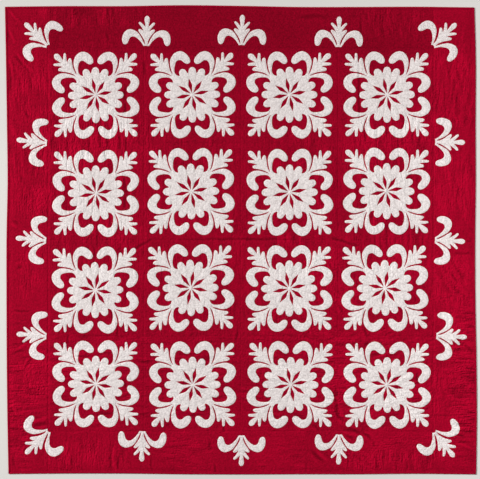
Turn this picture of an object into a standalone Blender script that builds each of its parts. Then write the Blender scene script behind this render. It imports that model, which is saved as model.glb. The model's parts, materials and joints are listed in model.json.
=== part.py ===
"""Applique bed quilt, laid out flat on a surface.

One quilted ground cloth carries sixteen cut-out block motifs and sixteen
border sprigs, and a narrow binding wraps its four edges. Lengths are metres.
+X is the quilt's right, +Y its top edge, and it lies on the plane z = 0.
"""

import math

import bmesh
import bpy
from mathutils import Vector
from mathutils.geometry import delaunay_2d_cdt, tessellate_polygon

MM = 0.001

# Ground cloth: nominal size, before the edges wander.
WIDTH = 2.148
HEIGHT = 2.142
THICK = 4.0 * MM
HALF_SIZE = (WIDTH / 2, HEIGHT / 2)

# Sixteen square blocks in four rows. The outer blocks are trimmed where a border joins.
BLOCK_PITCH = (0.4445, 0.4420)
BLOCK_TRIM = (7 * MM, 7 * MM)
BLOCKS_PER_SIDE = 4
FIELD_HALF = tuple(2 * p - t for p, t in zip(BLOCK_PITCH, BLOCK_TRIM))

# A seam is a shallow V sunk in the padded cloth, deeper along the side borders.
SEAM_HALF_WIDTH = 6 * MM
SIDE_SEAM_DEPTH = 1.0 * MM
SEAM_DEPTH = 0.7 * MM

# Two places closer than this are one point.
SAME_PLACE = 0.01 * MM

# Binding: a folded strip wrapped round the flattened edge of the quilt.
BINDING_WIDTH = 9 * MM
BINDING_CLOTH = 0.5 * MM
BINDING_HEIGHT = 3.2 * MM
CLEARANCE = 0.3 * MM
EDGE_INSET = BINDING_CLOTH + CLEARANCE
EDGE_UNDER = BINDING_CLOTH + CLEARANCE
EDGE_OVER = BINDING_HEIGHT - BINDING_CLOTH - CLEARANCE
EDGE_FLAT = BINDING_WIDTH + 1.0 * MM
EDGE_ROLL = 34 * MM
UNDER_ROLL = 14 * MM
MITRE_GAP = 0.25 * MM

# Applique: one layer of cloth with its edge turned under.
APPLIQUE_THICK = 0.8 * MM
APPLIQUE_BOTTOM = THICK + CLEARANCE

# How far each edge wanders outwards from its nominal line, in millimetres.
# along: share of the side, from its top or its left end to the other.
EDGE_WANDER = (
    # along, left, right, top, bottom
    (0.000, 7.0, -4.0, -3.5, 1.5),
    (0.125, 2.0, 2.0, -0.5, -0.5),
    (0.250, -2.0, 1.0, -0.5, -0.5),
    (0.375, -5.0, 2.0, 3.5, 2.5),
    (0.500, 0.0, -1.0, 0.5, 3.5),
    (0.625, 0.0, 0.0, -4.5, 2.5),
    (0.750, -1.0, 5.0, -4.5, 2.5),
    (0.875, -4.0, 7.0, -3.5, 0.5),
    (1.000, -9.0, 4.0, -6.5, 3.5),
)
LEFT, RIGHT, TOP, BOTTOM = 1, 2, 3, 4

# Long creases pressed into the borders and between the blocks, as rhombic hollows.
CREASES = (
    # x, y (mm), direction (degrees), half length, half width, depth (mm)
    (-1018, 823, 128, 30, 9, 1.2),
    (-1056, 740, 93, 72, 10, 1.2),
    (-978, 574, 120, 24, 9, 1.2),
    (-1052, 335, 92, 46, 8, 0.9),
    (-1034, 80, 150, 22, 8, 1.1),
    (-1000, -327, 1, 42, 7, 1.2),
    (-1012, -474, 14, 46, 8, 1.2),
    (-1035, -693, 0, 34, 7, 1.0),
    (-1036, -867, 0, 34, 7, 1.0),
    (-918, -846, 14, 38, 10, 1.4),
    (-599, -1020, 88, 38, 9, 1.3),
    (-410, -1026, 90, 38, 6, 1.2),
    (350, -990, 138, 44, 12, 1.0),
    (0, 2, 0, 300, 9, 1.3),
    (-455, -22, 28, 62, 9, 1.2),
    (470, -8, 164, 78, 9, 1.2),
    (438, -745, 94, 100, 12, 1.2),
    (510, -872, 167, 46, 11, 1.5),
    (578, -897, 146, 28, 9, 1.5),
    (488, -1008, 90, 54, 6, 1.2),
    (759, -1026, 90, 36, 6, 1.2),
    (1018, -64, 178, 44, 9, 1.2),
    (974, -173, 123, 34, 8, 1.1),
    (1008, -166, 118, 42, 8, 1.0),
    (1036, -495, 140, 26, 9, 1.0),
    (1045, -590, 0, 26, 6, 1.0),
    (1047, -789, 178, 24, 8, 1.1),
    (1034, -878, 178, 36, 9, 1.2),
    (1020, -925, 172, 34, 8, 1.0),
    (576, 1024, 90, 26, 7, 1.1),
    (-606, 1044, 90, 26, 9, 1.1),
    (-612, 932, 105, 22, 8, 1.0),
)

# Rosette at the middle of a block: twelve petals and four stems, round eight slits.
LOBES = 16
LOBE_STEP = math.tau / LOBES
PETAL_RADIUS = 128 * MM
PETAL_HALF_WIDTH = 15 * MM
PETAL_SHOULDER = 9 * MM
PETAL_VALLEY_RADIUS = 101 * MM
SLIT_INNER_RADIUS = 9 * MM
SLIT_WIDE_RADIUS = 44 * MM
SLIT_OUTER_RADIUS = 76 * MM
SLIT_HALF_WIDTH = 8.4 * MM
SLITS = 8

# A leaf between two scrolls grows from each diagonal. Points are given in
# millimetres from the rosette's centre: along the diagonal and across it.
STEM_VALLEY = (105, 18.5)
BLOCK_SCROLL = (
    # inner along, inner across, outer along, outer across
    (129, 16.5, 127, 4),
    (155, 44, 180.5, 38.3),
    (157, 69, 192.5, 85),
    (121, 80, 148, 113.3),
)
BLOCK_SCROLL_END = (112.5, 96)
BLOCK_LEAF = (
    # along, across
    (168, 19.5),
    (200.5, 41),
    (196.5, 15),
    (230.5, 40),
    (237, 33),
    (217, 7),
    (260, 11),
)

# A border sprig is a smaller leaf with wider scrolls, measured from its foot. The foot is
# straight on a seam. Where two seams cross it is hollow, the scrolls lie closer to it and
# the leaf is longer: they are slid along the sprig's axis, less and less near the foot.
SPRIG_SCROLL = (
    # inner along, inner across, outer along, outer across
    (0.5, 13, 6, 6),
    (38.5, 45, 59.5, 35.5),
    (43, 70, 76.5, 76),
    (12, 84, 42, 110.7),
)
SPRIG_SCROLL_END = (3, 101)
SPRIG_LEAF = (
    # along, across
    (46, 20),
    (75, 38.5),
    (69, 14),
    (104.5, 38),
    (110, 31.5),
    (89.5, 8),
    (136.5, 9),
)
SEAM_FOOT = ((0.5, 13),)
CORNER_FOOT = ((-4.5, 10.5), (1.5, 0))
CORNER_SCROLL_SLIDE = -3
CORNER_LEAF_SLIDE = 6.5
FOOT_REACH = 13
SLIDE_REACH = 40

# Where each block motif is sewn: its shift from the block's centre, its turn,
# and whether its folded paper was laid face up (1) or face down (-1).
BLOCK_MOTIFS = (
    # row, column, right (mm), up (mm), turn (degrees), face
    (1, 1, 2, -1, 0.3, 1),
    (1, 2, 0, 1, 0.5, 1),
    (1, 3, 0, 1, 0.0, 1),
    (1, 4, 2, 1, 0.2, 1),
    (2, 1, 2, -8, 0.0, 1),
    (2, 2, -6, 0, 0.8, 1),
    (2, 3, 1, -4, 0.0, 1),
    (2, 4, 1, 1, -0.3, 1),
    (3, 1, -1, -9, 0.6, -1),
    (3, 2, -8, 1, 1.0, -1),
    (3, 3, -1, -2, 0.4, 1),
    (3, 4, -7, 1, 1.0, -1),
    (4, 1, 3, 3, 0.5, -1),
    (4, 2, 1, -1, 0.6, -1),
    (4, 3, 5, -1, -0.6, 1),
    (4, 4, 3, -2, 0.0, -1),
)

# Where each border sprig's foot is sewn, and the way its leaf points.
SPRIGS = (
    # name, x, y (mm), direction (degrees)
    ("corner_top_left", -885, 888, 135.5),
    ("top_left", -434, 886, 88.0),
    ("top_middle", 4, 890, 88.7),
    ("top_right", 447, 883, 88.7),
    ("corner_top_right", 880, 888, 44.0),
    ("left_upper", -887, 442, 173.5),
    ("left_middle", -890, -3, 175.7),
    ("left_lower", -888, -441, 176.3),
    ("right_upper", 887, 447, -1.0),
    ("right_middle", 886, -1, -3.0),
    ("right_lower", 893, -441, -2.2),
    ("corner_bottom_left", -881, -877, 223.7),
    ("bottom_left", -451, -876, 268.7),
    ("bottom_middle", 3, -896, 269.4),
    ("bottom_right", 450, -889, 269.0),
    ("corner_bottom_right", 886, -878, 307.5),
)

# name, colour, roughness
QUILTED_RED = ("quilted_red_cotton", (0.319, 0.0024, 0.0152, 1.0), 0.85)
BINDING_RED = ("binding_red_cotton", (0.25, 0.002, 0.012, 1.0), 0.85)
WHITE_COTTON = ("white_cotton", (0.76, 0.68, 0.66, 1.0), 0.9)


def clear_scene():
    """Starts from nothing."""
    for old in list(bpy.data.objects):
        bpy.data.objects.remove(old)


def cotton(name, colour, roughness):
    """A matt Principled cloth finish."""
    material = bpy.data.materials.new(name)
    material.use_nodes = True
    shader = material.node_tree.nodes["Principled BSDF"]
    shader.inputs["Base Color"].default_value = colour
    shader.inputs["Roughness"].default_value = roughness
    shader.inputs["Metallic"].default_value = 0.0
    return material


def add_solid(name, points, faces, material):
    """One closed body as a named object."""
    mesh = bpy.data.meshes.new(name)
    mesh.from_pydata(points, [], faces)
    body = bmesh.new()
    body.from_mesh(mesh)
    bmesh.ops.recalc_face_normals(body, faces=body.faces)
    body.to_mesh(mesh)
    body.free()
    mesh.materials.append(material)
    solid = bpy.data.objects.new(name, mesh)
    bpy.context.scene.collection.objects.link(solid)
    return solid


def loop_edges(start, count):
    """The edges of a closed loop of count points that begins at index start."""
    return [(start + i, start + (i + 1) % count) for i in range(count)]


def wander(side, along):
    """How far an edge lies outside its nominal line at a share of its length."""
    along = min(max(along, 0.0), 1.0)
    for near, far in zip(EDGE_WANDER, EDGE_WANDER[1:]):
        if along <= far[0]:
            part = (along - near[0]) / (far[0] - near[0])
            return (near[side] + part * (far[side] - near[side])) * MM
    return EDGE_WANDER[-1][side] * MM


def on_cloth(x, y):
    """Moves a nominal point with the wandering edges. The blocks stay put."""
    down = 0.5 - y / HEIGHT
    across = 0.5 + x / WIDTH
    share_x = max(0.0, (abs(x) - FIELD_HALF[0]) / (HALF_SIZE[0] - FIELD_HALF[0]))
    share_y = max(0.0, (abs(y) - FIELD_HALF[1]) / (HALF_SIZE[1] - FIELD_HALF[1]))
    out_x = share_x * wander(RIGHT if x > 0 else LEFT, down)
    out_y = share_y * wander(TOP if y > 0 else BOTTOM, across)
    return (x + math.copysign(1, x) * out_x, y + math.copysign(1, y) * out_y)


def edge_ring(inset):
    """A closed ring of nominal points a set distance inside the four edges, anticlockwise."""
    half_x, half_y = HALF_SIZE[0] - inset, HALF_SIZE[1] - inset
    shares = [row[0] for row in EDGE_WANDER[:-1]]
    ring = [(half_x * (2 * s - 1), -half_y) for s in shares]
    ring += [(half_x, half_y * (2 * s - 1)) for s in shares]
    ring += [(half_x * (1 - 2 * s), half_y) for s in shares]
    ring += [(-half_x, half_y * (1 - 2 * s)) for s in shares]
    return ring


def seams():
    """Every patchwork seam: its two ends and its depth. Side borders run the full height."""
    field_x, field_y = FIELD_HALF
    reach = HALF_SIZE[1] - EDGE_ROLL
    lines = []
    for side in (-1, 1):
        x, y = side * field_x, side * field_y
        lines.append(((x, -reach), (x, reach), SIDE_SEAM_DEPTH))
        lines.append(((-field_x, y), (field_x, y), SEAM_DEPTH))
    half_count = BLOCKS_PER_SIDE // 2
    for step in range(1 - half_count, half_count):
        x, y = step * BLOCK_PITCH[0], step * BLOCK_PITCH[1]
        lines.append(((x, -field_y), (x, field_y), SEAM_DEPTH))
        lines.append(((-field_x, y), (field_x, y), SEAM_DEPTH))
    return lines


def seam_sink(point, line):
    """Depth of one seam's V at a point."""
    start, end, depth = Vector(line[0]), Vector(line[1]), line[2]
    run = (end - start).normalized()
    offset = Vector(point) - start
    along = offset.dot(run)
    if not -SAME_PLACE <= along <= (end - start).length + SAME_PLACE:
        return 0.0
    across = abs(run.cross(offset))
    return depth * max(0.0, 1 - across / SEAM_HALF_WIDTH)


def crease_axes(crease):
    """A crease's middle, its direction along and its direction across."""
    x, y, degrees = crease[:3]
    run = Vector((math.cos(math.radians(degrees)), math.sin(math.radians(degrees))))
    return Vector((x, y)) * MM, run, Vector((-run.y, run.x))


def crease_sink(point, crease):
    """Depth of one crease at a point: a long rhombic hollow, deepest in its middle."""
    middle, run, side = crease_axes(crease)
    half_length, half_width, depth = (value * MM for value in crease[3:])
    offset = Vector(point) - middle
    left = 1 - abs(offset.dot(run)) / half_length - abs(offset.dot(side)) / half_width
    return depth * max(0.0, left)


def edge_sink(x, y):
    """How far the top is drawn down towards the bound edge."""
    inset = min(HALF_SIZE[0] - abs(x), HALF_SIZE[1] - abs(y))
    part = min(max((EDGE_ROLL - inset) / (EDGE_ROLL - EDGE_FLAT), 0.0), 1.0)
    return part * (THICK - EDGE_OVER)


def top_height(x, y):
    """Height of the ground cloth's top at a nominal point."""
    sunk = max(seam_sink((x, y), line) for line in seams())
    sunk = max(sunk, max(crease_sink((x, y), crease) for crease in CREASES))
    return THICK - max(sunk, edge_sink(x, y))


def relief_lines():
    """Points and edges that the top's triangles have to follow."""
    points, edges = [], []
    for inset in (EDGE_INSET, EDGE_FLAT, EDGE_ROLL):
        ring = edge_ring(inset)
        edges += loop_edges(len(points), len(ring))
        points += ring
    for start, end, _ in seams():
        upright = start[0] == end[0]
        for shift in (-SEAM_HALF_WIDTH, 0.0, SEAM_HALF_WIDTH):
            move = (shift, 0.0) if upright else (0.0, shift)
            edges.append((len(points), len(points) + 1))
            points += [(start[0] + move[0], start[1] + move[1])]
            points += [(end[0] + move[0], end[1] + move[1])]
    for crease in CREASES:
        middle, run, side = crease_axes(crease)
        run, side = run * crease[3] * MM, side * crease[4] * MM
        corners = [middle - run, middle + side, middle + run, middle - side]
        first = len(points)
        points += [tuple(corner) for corner in corners] + [tuple(middle)]
        edges += loop_edges(first, 4) + [(first + i, first + 4) for i in range(4)]
    return points, edges


def loop_pairs(indices):
    """Neighbouring pairs round a closed loop."""
    return list(zip(indices, indices[1:] + indices[:1]))


def nearest(points, target):
    """Index of the point that lies on target."""
    distances = [(point - Vector(target)).length for point in points]
    return distances.index(min(distances))


def ground_cloth(material):
    """The quilted cloth: relief on top, flat below, thinned where the binding grips it."""
    points, edges = relief_lines()
    inside_only = 1
    found = delaunay_2d_cdt([Vector(p) for p in points], edges, [], inside_only, SAME_PLACE)
    flat, faces = found[0], [tuple(triangle) for triangle in found[2]]
    solid = [(*on_cloth(x, y), top_height(x, y)) for x, y in flat]
    upper = [nearest(flat, place) for place in edge_ring(EDGE_INSET)]
    rings_below = (
        # inset from the nominal edge, height
        (EDGE_INSET, EDGE_UNDER),
        (EDGE_FLAT, EDGE_UNDER),
        (UNDER_ROLL, 0.0),
    )
    for inset, height in rings_below:
        lower = list(range(len(solid), len(solid) + len(upper)))
        solid += [(*on_cloth(x, y), height) for x, y in edge_ring(inset)]
        for (a, b), (c, d) in zip(loop_pairs(upper), loop_pairs(lower)):
            faces.append((a, b, d, c))
        upper = lower
    faces.append(tuple(upper))
    return add_solid("ground_cloth", solid, faces, material)


def binding_strip(name, side, material):
    """One side's binding: a C in section, mitred at both ends."""
    wide, cloth, high = BINDING_WIDTH, BINDING_CLOTH, BINDING_HEIGHT
    section = (
        # inset from the outer edge, height
        (0.0, cloth),
        (cloth, 0.0),
        (wide, 0.0),
        (wide, cloth),
        (cloth, cloth),
        (cloth, high - cloth),
        (wide, high - cloth),
        (wide, high),
        (cloth, high),
        (0.0, high - cloth),
    )
    points = []
    for row in EDGE_WANDER:
        for inset, height in section:
            along = 2 * row[0] - 1
            run_x = along * (HALF_SIZE[0] - inset - MITRE_GAP)
            run_y = -along * (HALF_SIZE[1] - inset - MITRE_GAP)
            across_x, across_y = HALF_SIZE[0] - inset, HALF_SIZE[1] - inset
            spot = {
                LEFT: (-across_x, run_y),
                RIGHT: (across_x, run_y),
                TOP: (run_x, across_y),
                BOTTOM: (run_x, -across_y),
            }[side]
            points.append((*on_cloth(*spot), height))
    count = len(section)
    faces = [tuple(range(count)), tuple(range(len(points) - count, len(points)))]
    for start in range(0, len(points) - count, count):
        for a, b in loop_edges(start, count):
            faces.append((a, b, b + count, a + count))
    return add_solid(name, points, faces, material)


def growth_half(scroll, scroll_end, leaf):
    """One side of a leaf with its scroll, from the scroll's foot out to the leaf's tip."""
    inner = [row[:2] for row in scroll]
    outer = [row[2:] for row in scroll]
    return inner + [scroll_end] + outer[::-1] + list(leaf)


def both_sides(half):
    """A shape that is the same on both sides of its axis, anticlockwise from its foot."""
    return [(along, -across) for along, across in half] + half[::-1]


def turned(points, angle):
    """Points turned about the origin."""
    c, s = math.cos(angle), math.sin(angle)
    return [(c * x - s * y, s * x + c * y) for x, y in points]


def in_metres(points):
    """Millimetre points as metres."""
    return [(x * MM, y * MM) for x, y in points]


def petal(lobe):
    """The round-ended petal that is lobe steps round from +X, with the valley before it."""
    half, shoulder = PETAL_HALF_WIDTH, PETAL_RADIUS - PETAL_SHOULDER
    valley = turned([(PETAL_VALLEY_RADIUS, 0.0)], -LOBE_STEP / 2)
    tip = [(shoulder, -half), (PETAL_RADIUS, 0.0), (shoulder, half)]
    return turned(valley + tip, lobe * LOBE_STEP)


def motif_outline():
    """The cut-out's outer edge, anticlockwise: four equal quarters."""
    half = [STEM_VALLEY] + growth_half(BLOCK_SCROLL, BLOCK_SCROLL_END, BLOCK_LEAF)
    quarter = petal(0) + petal(1)
    quarter += turned(in_metres(both_sides(half)), 2 * LOBE_STEP)
    quarter += petal(3)[1:]
    outline = []
    for turn in range(4):
        outline += turned(quarter, turn * math.tau / 4)
    return outline


def motif_slits():
    """The eight diamond slits, each between two lobes."""
    slit = [
        (SLIT_INNER_RADIUS, 0.0),
        (SLIT_WIDE_RADIUS, SLIT_HALF_WIDTH),
        (SLIT_OUTER_RADIUS, 0.0),
        (SLIT_WIDE_RADIUS, -SLIT_HALF_WIDTH),
    ]
    return [turned(slit, LOBE_STEP / 2 + i * math.tau / SLITS) for i in range(SLITS)]


def slid(points, slide):
    """Points slid along the sprig's axis, less and less near the foot."""
    moved = []
    for along, across in points:
        share = (math.hypot(along, across) - FOOT_REACH) / SLIDE_REACH
        moved.append((along + slide * min(max(share, 0), 1), across))
    return moved


def sprig_outline(foot, scroll_slide, leaf_slide):
    """A border sprig's edge, from its foot round the leaf and back to the foot."""
    half = growth_half(SPRIG_SCROLL, SPRIG_SCROLL_END, SPRIG_LEAF)
    leaf = len(half) - len(SPRIG_LEAF)
    half = [foot[0]] + slid(half[1:leaf], scroll_slide) + slid(half[leaf:], leaf_slide)
    return in_metres(both_sides(half) + list(foot[1:]))


def applique(name, loops, place, material):
    """A cut cloth shape, sewn down flat. place maps its own points on to the quilt."""
    flat = [[Vector((*place(p), APPLIQUE_BOTTOM)) for p in loop] for loop in loops]
    lower = [p for loop in flat for p in loop]
    upper = [p + Vector((0, 0, APPLIQUE_THICK)) for p in lower]
    count = len(lower)
    triangles = tessellate_polygon(flat)
    faces = list(triangles) + [tuple(i + count for i in t) for t in triangles]
    start = 0
    for loop in flat:
        for a, b in loop_edges(start, len(loop)):
            faces.append((a, b, b + count, a + count))
        start += len(loop)
    return add_solid(name, lower + upper, faces, material)


def placing(x, y, angle, face=1):
    """Turns a shape's own points by angle and moves them to (x, y); face -1 turns it over."""

    def place(point):
        ((moved_x, moved_y),) = turned([(point[0], face * point[1])], angle)
        return (x + moved_x, y + moved_y)

    return place


def block_motifs(material):
    """Sixteen one-piece cut-outs, one on each block."""
    loops = [motif_outline()] + motif_slits()
    middle = (BLOCKS_PER_SIDE + 1) / 2
    for row, column, right, up, turn, face in BLOCK_MOTIFS:
        x = (column - middle) * BLOCK_PITCH[0] + right * MM
        y = (middle - row) * BLOCK_PITCH[1] + up * MM
        place = placing(x, y, math.radians(turn), face)
        applique(f"motif_{row}_{column}", loops, place, material)


def border_sprigs(material):
    """Sixteen leaf-and-scroll sprigs round the borders."""
    on_seam = sprig_outline(SEAM_FOOT, 0, 0)
    in_corner = sprig_outline(CORNER_FOOT, CORNER_SCROLL_SLIDE, CORNER_LEAF_SLIDE)
    for name, x, y, degrees in SPRIGS:
        outline = in_corner if name.startswith("corner") else on_seam
        place = placing(x * MM, y * MM, math.radians(degrees))
        applique(f"sprig_{name}", [outline], place, material)


def main():
    clear_scene()
    ground_cloth(cotton(*QUILTED_RED))
    binding = cotton(*BINDING_RED)
    binding_strip("binding_left", LEFT, binding)
    binding_strip("binding_right", RIGHT, binding)
    binding_strip("binding_top", TOP, binding)
    binding_strip("binding_bottom", BOTTOM, binding)
    white = cotton(*WHITE_COTTON)
    block_motifs(white)
    border_sprigs(white)


main()
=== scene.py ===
# %% [markdown]
# # A tivaevae quilt laid out flat
#
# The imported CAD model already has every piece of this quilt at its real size: one padded
# ground cloth, four binding strips and thirty-two cut-out shapes. It is plain, because it is
# there to be measured and to collide. This lesson dresses it. Each plain solid gives way to
# cloth with the same outline: patchwork blocks that dip at their seams, cut-outs whose edges
# are turned under, quilting that pulls the layers together, and the creases of an old quilt.
#
# Everything is in metres, +X is the quilt's right, +Y its top edge, and the floor is z = 0.

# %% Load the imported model
import functools
import json
import math

import bmesh
import bpy
import numpy as np
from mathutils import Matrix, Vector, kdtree
from mathutils.geometry import delaunay_2d_cdt

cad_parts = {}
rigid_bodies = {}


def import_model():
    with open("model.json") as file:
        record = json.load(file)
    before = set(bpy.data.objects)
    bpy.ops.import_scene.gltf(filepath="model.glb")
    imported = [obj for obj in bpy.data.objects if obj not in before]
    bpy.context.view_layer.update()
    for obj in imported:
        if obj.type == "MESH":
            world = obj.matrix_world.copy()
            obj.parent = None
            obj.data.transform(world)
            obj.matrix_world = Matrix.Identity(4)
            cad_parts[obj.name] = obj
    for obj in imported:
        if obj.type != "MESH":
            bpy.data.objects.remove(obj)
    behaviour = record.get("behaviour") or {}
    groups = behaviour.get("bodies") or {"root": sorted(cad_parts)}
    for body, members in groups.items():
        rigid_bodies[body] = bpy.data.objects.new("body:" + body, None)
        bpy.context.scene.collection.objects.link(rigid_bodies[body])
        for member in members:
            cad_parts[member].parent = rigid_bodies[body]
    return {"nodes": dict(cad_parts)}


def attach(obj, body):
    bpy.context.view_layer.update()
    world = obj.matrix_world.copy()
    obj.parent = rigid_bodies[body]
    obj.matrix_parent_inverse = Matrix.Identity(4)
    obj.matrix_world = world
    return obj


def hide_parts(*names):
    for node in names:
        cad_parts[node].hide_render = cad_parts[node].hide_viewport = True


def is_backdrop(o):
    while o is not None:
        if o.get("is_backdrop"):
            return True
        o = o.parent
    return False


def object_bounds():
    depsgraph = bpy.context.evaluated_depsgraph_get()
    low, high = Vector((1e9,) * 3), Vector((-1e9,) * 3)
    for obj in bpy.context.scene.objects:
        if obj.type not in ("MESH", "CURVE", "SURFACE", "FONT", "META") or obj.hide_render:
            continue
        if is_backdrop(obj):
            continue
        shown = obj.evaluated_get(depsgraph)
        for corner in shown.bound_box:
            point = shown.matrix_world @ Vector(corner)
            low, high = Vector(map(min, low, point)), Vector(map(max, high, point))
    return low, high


for leftover in list(bpy.data.objects):
    bpy.data.objects.remove(leftover)
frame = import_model()
cad_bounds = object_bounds()
MM = 0.001
print(len(frame["nodes"]), "solids in a box of", [round(s, 4) for s in cad_bounds[1] - cad_bounds[0]])

# %% [markdown]
# ## Small tools
#
# Four helpers serve the whole script. A colour is written as the hex value that a paint or
# dye chart would give, and one function turns it to the linear numbers that the renderer
# wants. One function adds a node with its settings, links and values. One puts a mesh, a lamp
# or a camera in the scene. The last makes a mesh object from arrays of points, with smooth
# shading and any numbers that a finish needs at each point.


# %% Helpers for colour, nodes and meshes
def dye(hex_value):
    """An sRGB hex colour as linear red, green, blue and alpha."""
    parts = [int(hex_value[i : i + 2], 16) / 255 for i in (0, 2, 4)]
    linear = [c / 12.92 if c <= 0.04045 else ((c + 0.055) / 1.055) ** 2.4 for c in parts]
    return (*linear, 1.0)


def add_node(tree, kind, inputs=(), **settings):
    """Adds a node. Its inputs come in order, or by name or number. A node or an output is
    linked to the input, and anything else is the input's own value."""
    node = tree.nodes.new(kind)
    for name, value in settings.items():
        setattr(node, name, value)
    for socket, given in inputs.items() if isinstance(inputs, dict) else enumerate(inputs):
        if isinstance(given, bpy.types.Node):
            given = given.outputs[0]
        if isinstance(given, bpy.types.NodeSocket):
            tree.links.new(given, node.inputs[socket])
        else:
            node.inputs[socket].default_value = given
    return node


def in_scene(name, data):
    """A new object in the scene, with a mesh, a lamp or a camera in it."""
    thing = bpy.data.objects.new(name, data)
    bpy.context.scene.collection.objects.link(thing)
    return thing


def cloth_mesh(name, points, faces, **marks):
    """A smooth mesh object. marks are numbers kept at each point for its finish."""
    mesh = bpy.data.meshes.new(name)
    faces = faces if isinstance(faces, list) else faces.tolist()
    mesh.from_pydata(np.asarray(points).tolist(), [], faces)
    mesh.polygons.foreach_set("use_smooth", np.ones(len(mesh.polygons), bool))
    for mark, numbers in marks.items():
        layer = mesh.attributes.new(mark, "FLOAT", "POINT")
        layer.data.foreach_set("value", np.asarray(numbers, np.float32))
    return in_scene(name, mesh)


print("deepest red in linear numbers", [round(part, 4) for part in dye("740218")])

# %% [markdown]
# ## The camera
#
# A quilt this wide is looked at from straight above, from far enough away that its edges stay
# nearly parallel. An orthographic camera would make them quite parallel, but a real lens is
# kept, so that the quilt looks as a visitor sees it. The camera's height follows from the lens
# and from how many millimetres one pixel covers. The Standard view keeps a deep dyed red as
# deep as its hex value says.

# %% Point the camera straight down
IMAGE_WIDTH = 480
MM_PER_PIXEL = 4.5825
LENS = 70.0
SENSOR = 36.0
VIEW_CENTRE = (-0.0041, 0.0014)

eye = bpy.data.cameras.new("camera above the quilt")
eye.lens = LENS
eye.sensor_width = SENSOR
camera = in_scene("camera above the quilt", eye)
camera_height = IMAGE_WIDTH * MM_PER_PIXEL * MM * LENS / SENSOR
camera.location = (*VIEW_CENTRE, camera_height)
bpy.context.scene.camera = camera
bpy.context.scene.view_settings.view_transform = "Standard"
print("camera height", round(camera_height, 3), "m")

# %% [markdown]
# ## Floor and lamps
#
# The floor is a large pale sheet just under the quilt. It isn't part of the object, so it is
# marked as stage. Light from a low window on the upper left rakes across the cloth, so that a
# hollow half a millimetre deep still shows. A large lamp close by could do this too, but it
# would be brighter at its own end of so wide a cloth, so the window is a sun lamp with a wide
# angle. Two large lamps, one at each side, and a dim world light fill its shadows.

# %% Lay the floor and hang the lamps
FLOOR_REACH = 12.0
FLOOR_DROP = 0.5 * MM
CORNERS = ((-1, -1), (1, -1), (1, 1), (-1, 1))
floor_points = [(x * FLOOR_REACH, y * FLOOR_REACH, -FLOOR_DROP) for x, y in CORNERS]
floor = cloth_mesh("floor", floor_points, [(0, 1, 2, 3)])
floor_paint = bpy.data.materials.new("pale_matt_floor")
floor_paint.use_nodes = True
floor_shader = floor_paint.node_tree.nodes["Principled BSDF"]
floor_shader.inputs["Base Color"].default_value = dye("d9d6d1")
floor_shader.inputs["Roughness"].default_value = 0.9
floor.data.materials.append(floor_paint)
floor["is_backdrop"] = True

LAMPS = (
    # name, from (degrees round, degrees up), distance (m), size (m), power (W)
    ("left lamp", (182.0, 33.0), 3.0, 1.6, 27.0),
    ("right lamp", (-2.0, 33.0), 3.0, 1.6, 27.0),
)
# Degrees round, degrees up and how many degrees wide the light is.
WINDOW_FROM = (147.0, 28.0)
WINDOW_SOFTNESS = 14.0
WINDOW_DISTANCE = 5.0
WINDOW_STRENGTH = 4.0
SKY_STRENGTH = 0.12


def aimed_at_quilt(name, kind, direction, distance):
    """A lamp that points at the quilt's middle from degrees round and degrees up."""
    lamp = bpy.data.lights.new(name, kind)
    holder = in_scene(name, lamp)
    turn, lift = (math.radians(angle) for angle in direction)
    level = math.cos(lift) * distance
    holder.location = (level * math.cos(turn), level * math.sin(turn), math.sin(lift) * distance)
    holder.rotation_euler = (-holder.location).to_track_quat("-Z", "Y").to_euler()
    return lamp


for name, direction, distance, size, power in LAMPS:
    lamp = aimed_at_quilt(name, "AREA", direction, distance)
    lamp.size, lamp.energy = size, power
window = aimed_at_quilt("window", "SUN", WINDOW_FROM, WINDOW_DISTANCE)
window.angle = math.radians(WINDOW_SOFTNESS)
window.energy = WINDOW_STRENGTH

sky = bpy.data.worlds.new("studio")
sky.use_nodes = True
background = sky.node_tree.nodes["Background"]
background.inputs["Color"].default_value = dye("f4f2f0")
background.inputs["Strength"].default_value = SKY_STRENGTH
bpy.context.scene.world = sky
print("window light from", WINDOW_FROM, "degrees")

# %% [markdown]
# ## The patchwork plan
#
# The top is sewn from sixteen square blocks in four rows, then framed with four borders. The
# side borders run the full height and the other two fit between them. An old quilt is never
# quite true, so its edges wander in and out by a few millimetres. The nominal plan is drawn
# straight, and `on_cloth` then moves a point near the edge with the wandering. A smooth curve
# through nine places on each side gives the wander.

# %% Sizes of the patchwork
WIDTH, HEIGHT = 2.148, 2.142
HALF_SIZE = (WIDTH / 2, HEIGHT / 2)
BLOCKS_PER_SIDE = 4
BLOCK_PITCH = (0.4445, 0.4420)
BLOCK_TRIM = 7 * MM
FIELD_HALF = tuple(BLOCKS_PER_SIDE // 2 * pitch - BLOCK_TRIM for pitch in BLOCK_PITCH)
SEAM_ALLOWANCE = 6.35 * MM

# How far each edge lies outside its nominal line (mm), from its top or its left end.
WANDER = {
    "left": (7.0, 2.0, -2.0, -5.0, 0.0, 0.0, -1.0, -4.0, -9.0),
    "right": (-4.0, 2.0, 1.0, 2.0, -1.0, 0.0, 5.0, 7.0, 4.0),
    "top": (-3.5, -0.5, -0.5, 3.5, 0.5, -4.5, -4.5, -3.5, -6.5),
    "bottom": (1.5, -0.5, -0.5, 2.5, 3.5, 2.5, 2.5, 0.5, 3.5),
}


def through(values, share):
    """A smooth curve through evenly spaced values, read at shares from 0 to 1."""
    last = len(values) - 1
    place = np.clip(share, 0, 1) * last
    i = np.minimum(place.astype(int), last - 1)
    t = place - i
    ends = np.array([2 * values[0] - values[1], *values, 2 * values[-1] - values[-2]])
    a, b, c, d = (ends[i + k] for k in range(4))
    return b + 0.5 * t * (c - a + t * (2 * a - 5 * b + 4 * c - d + t * (3 * b - a - 3 * c + d)))


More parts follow.
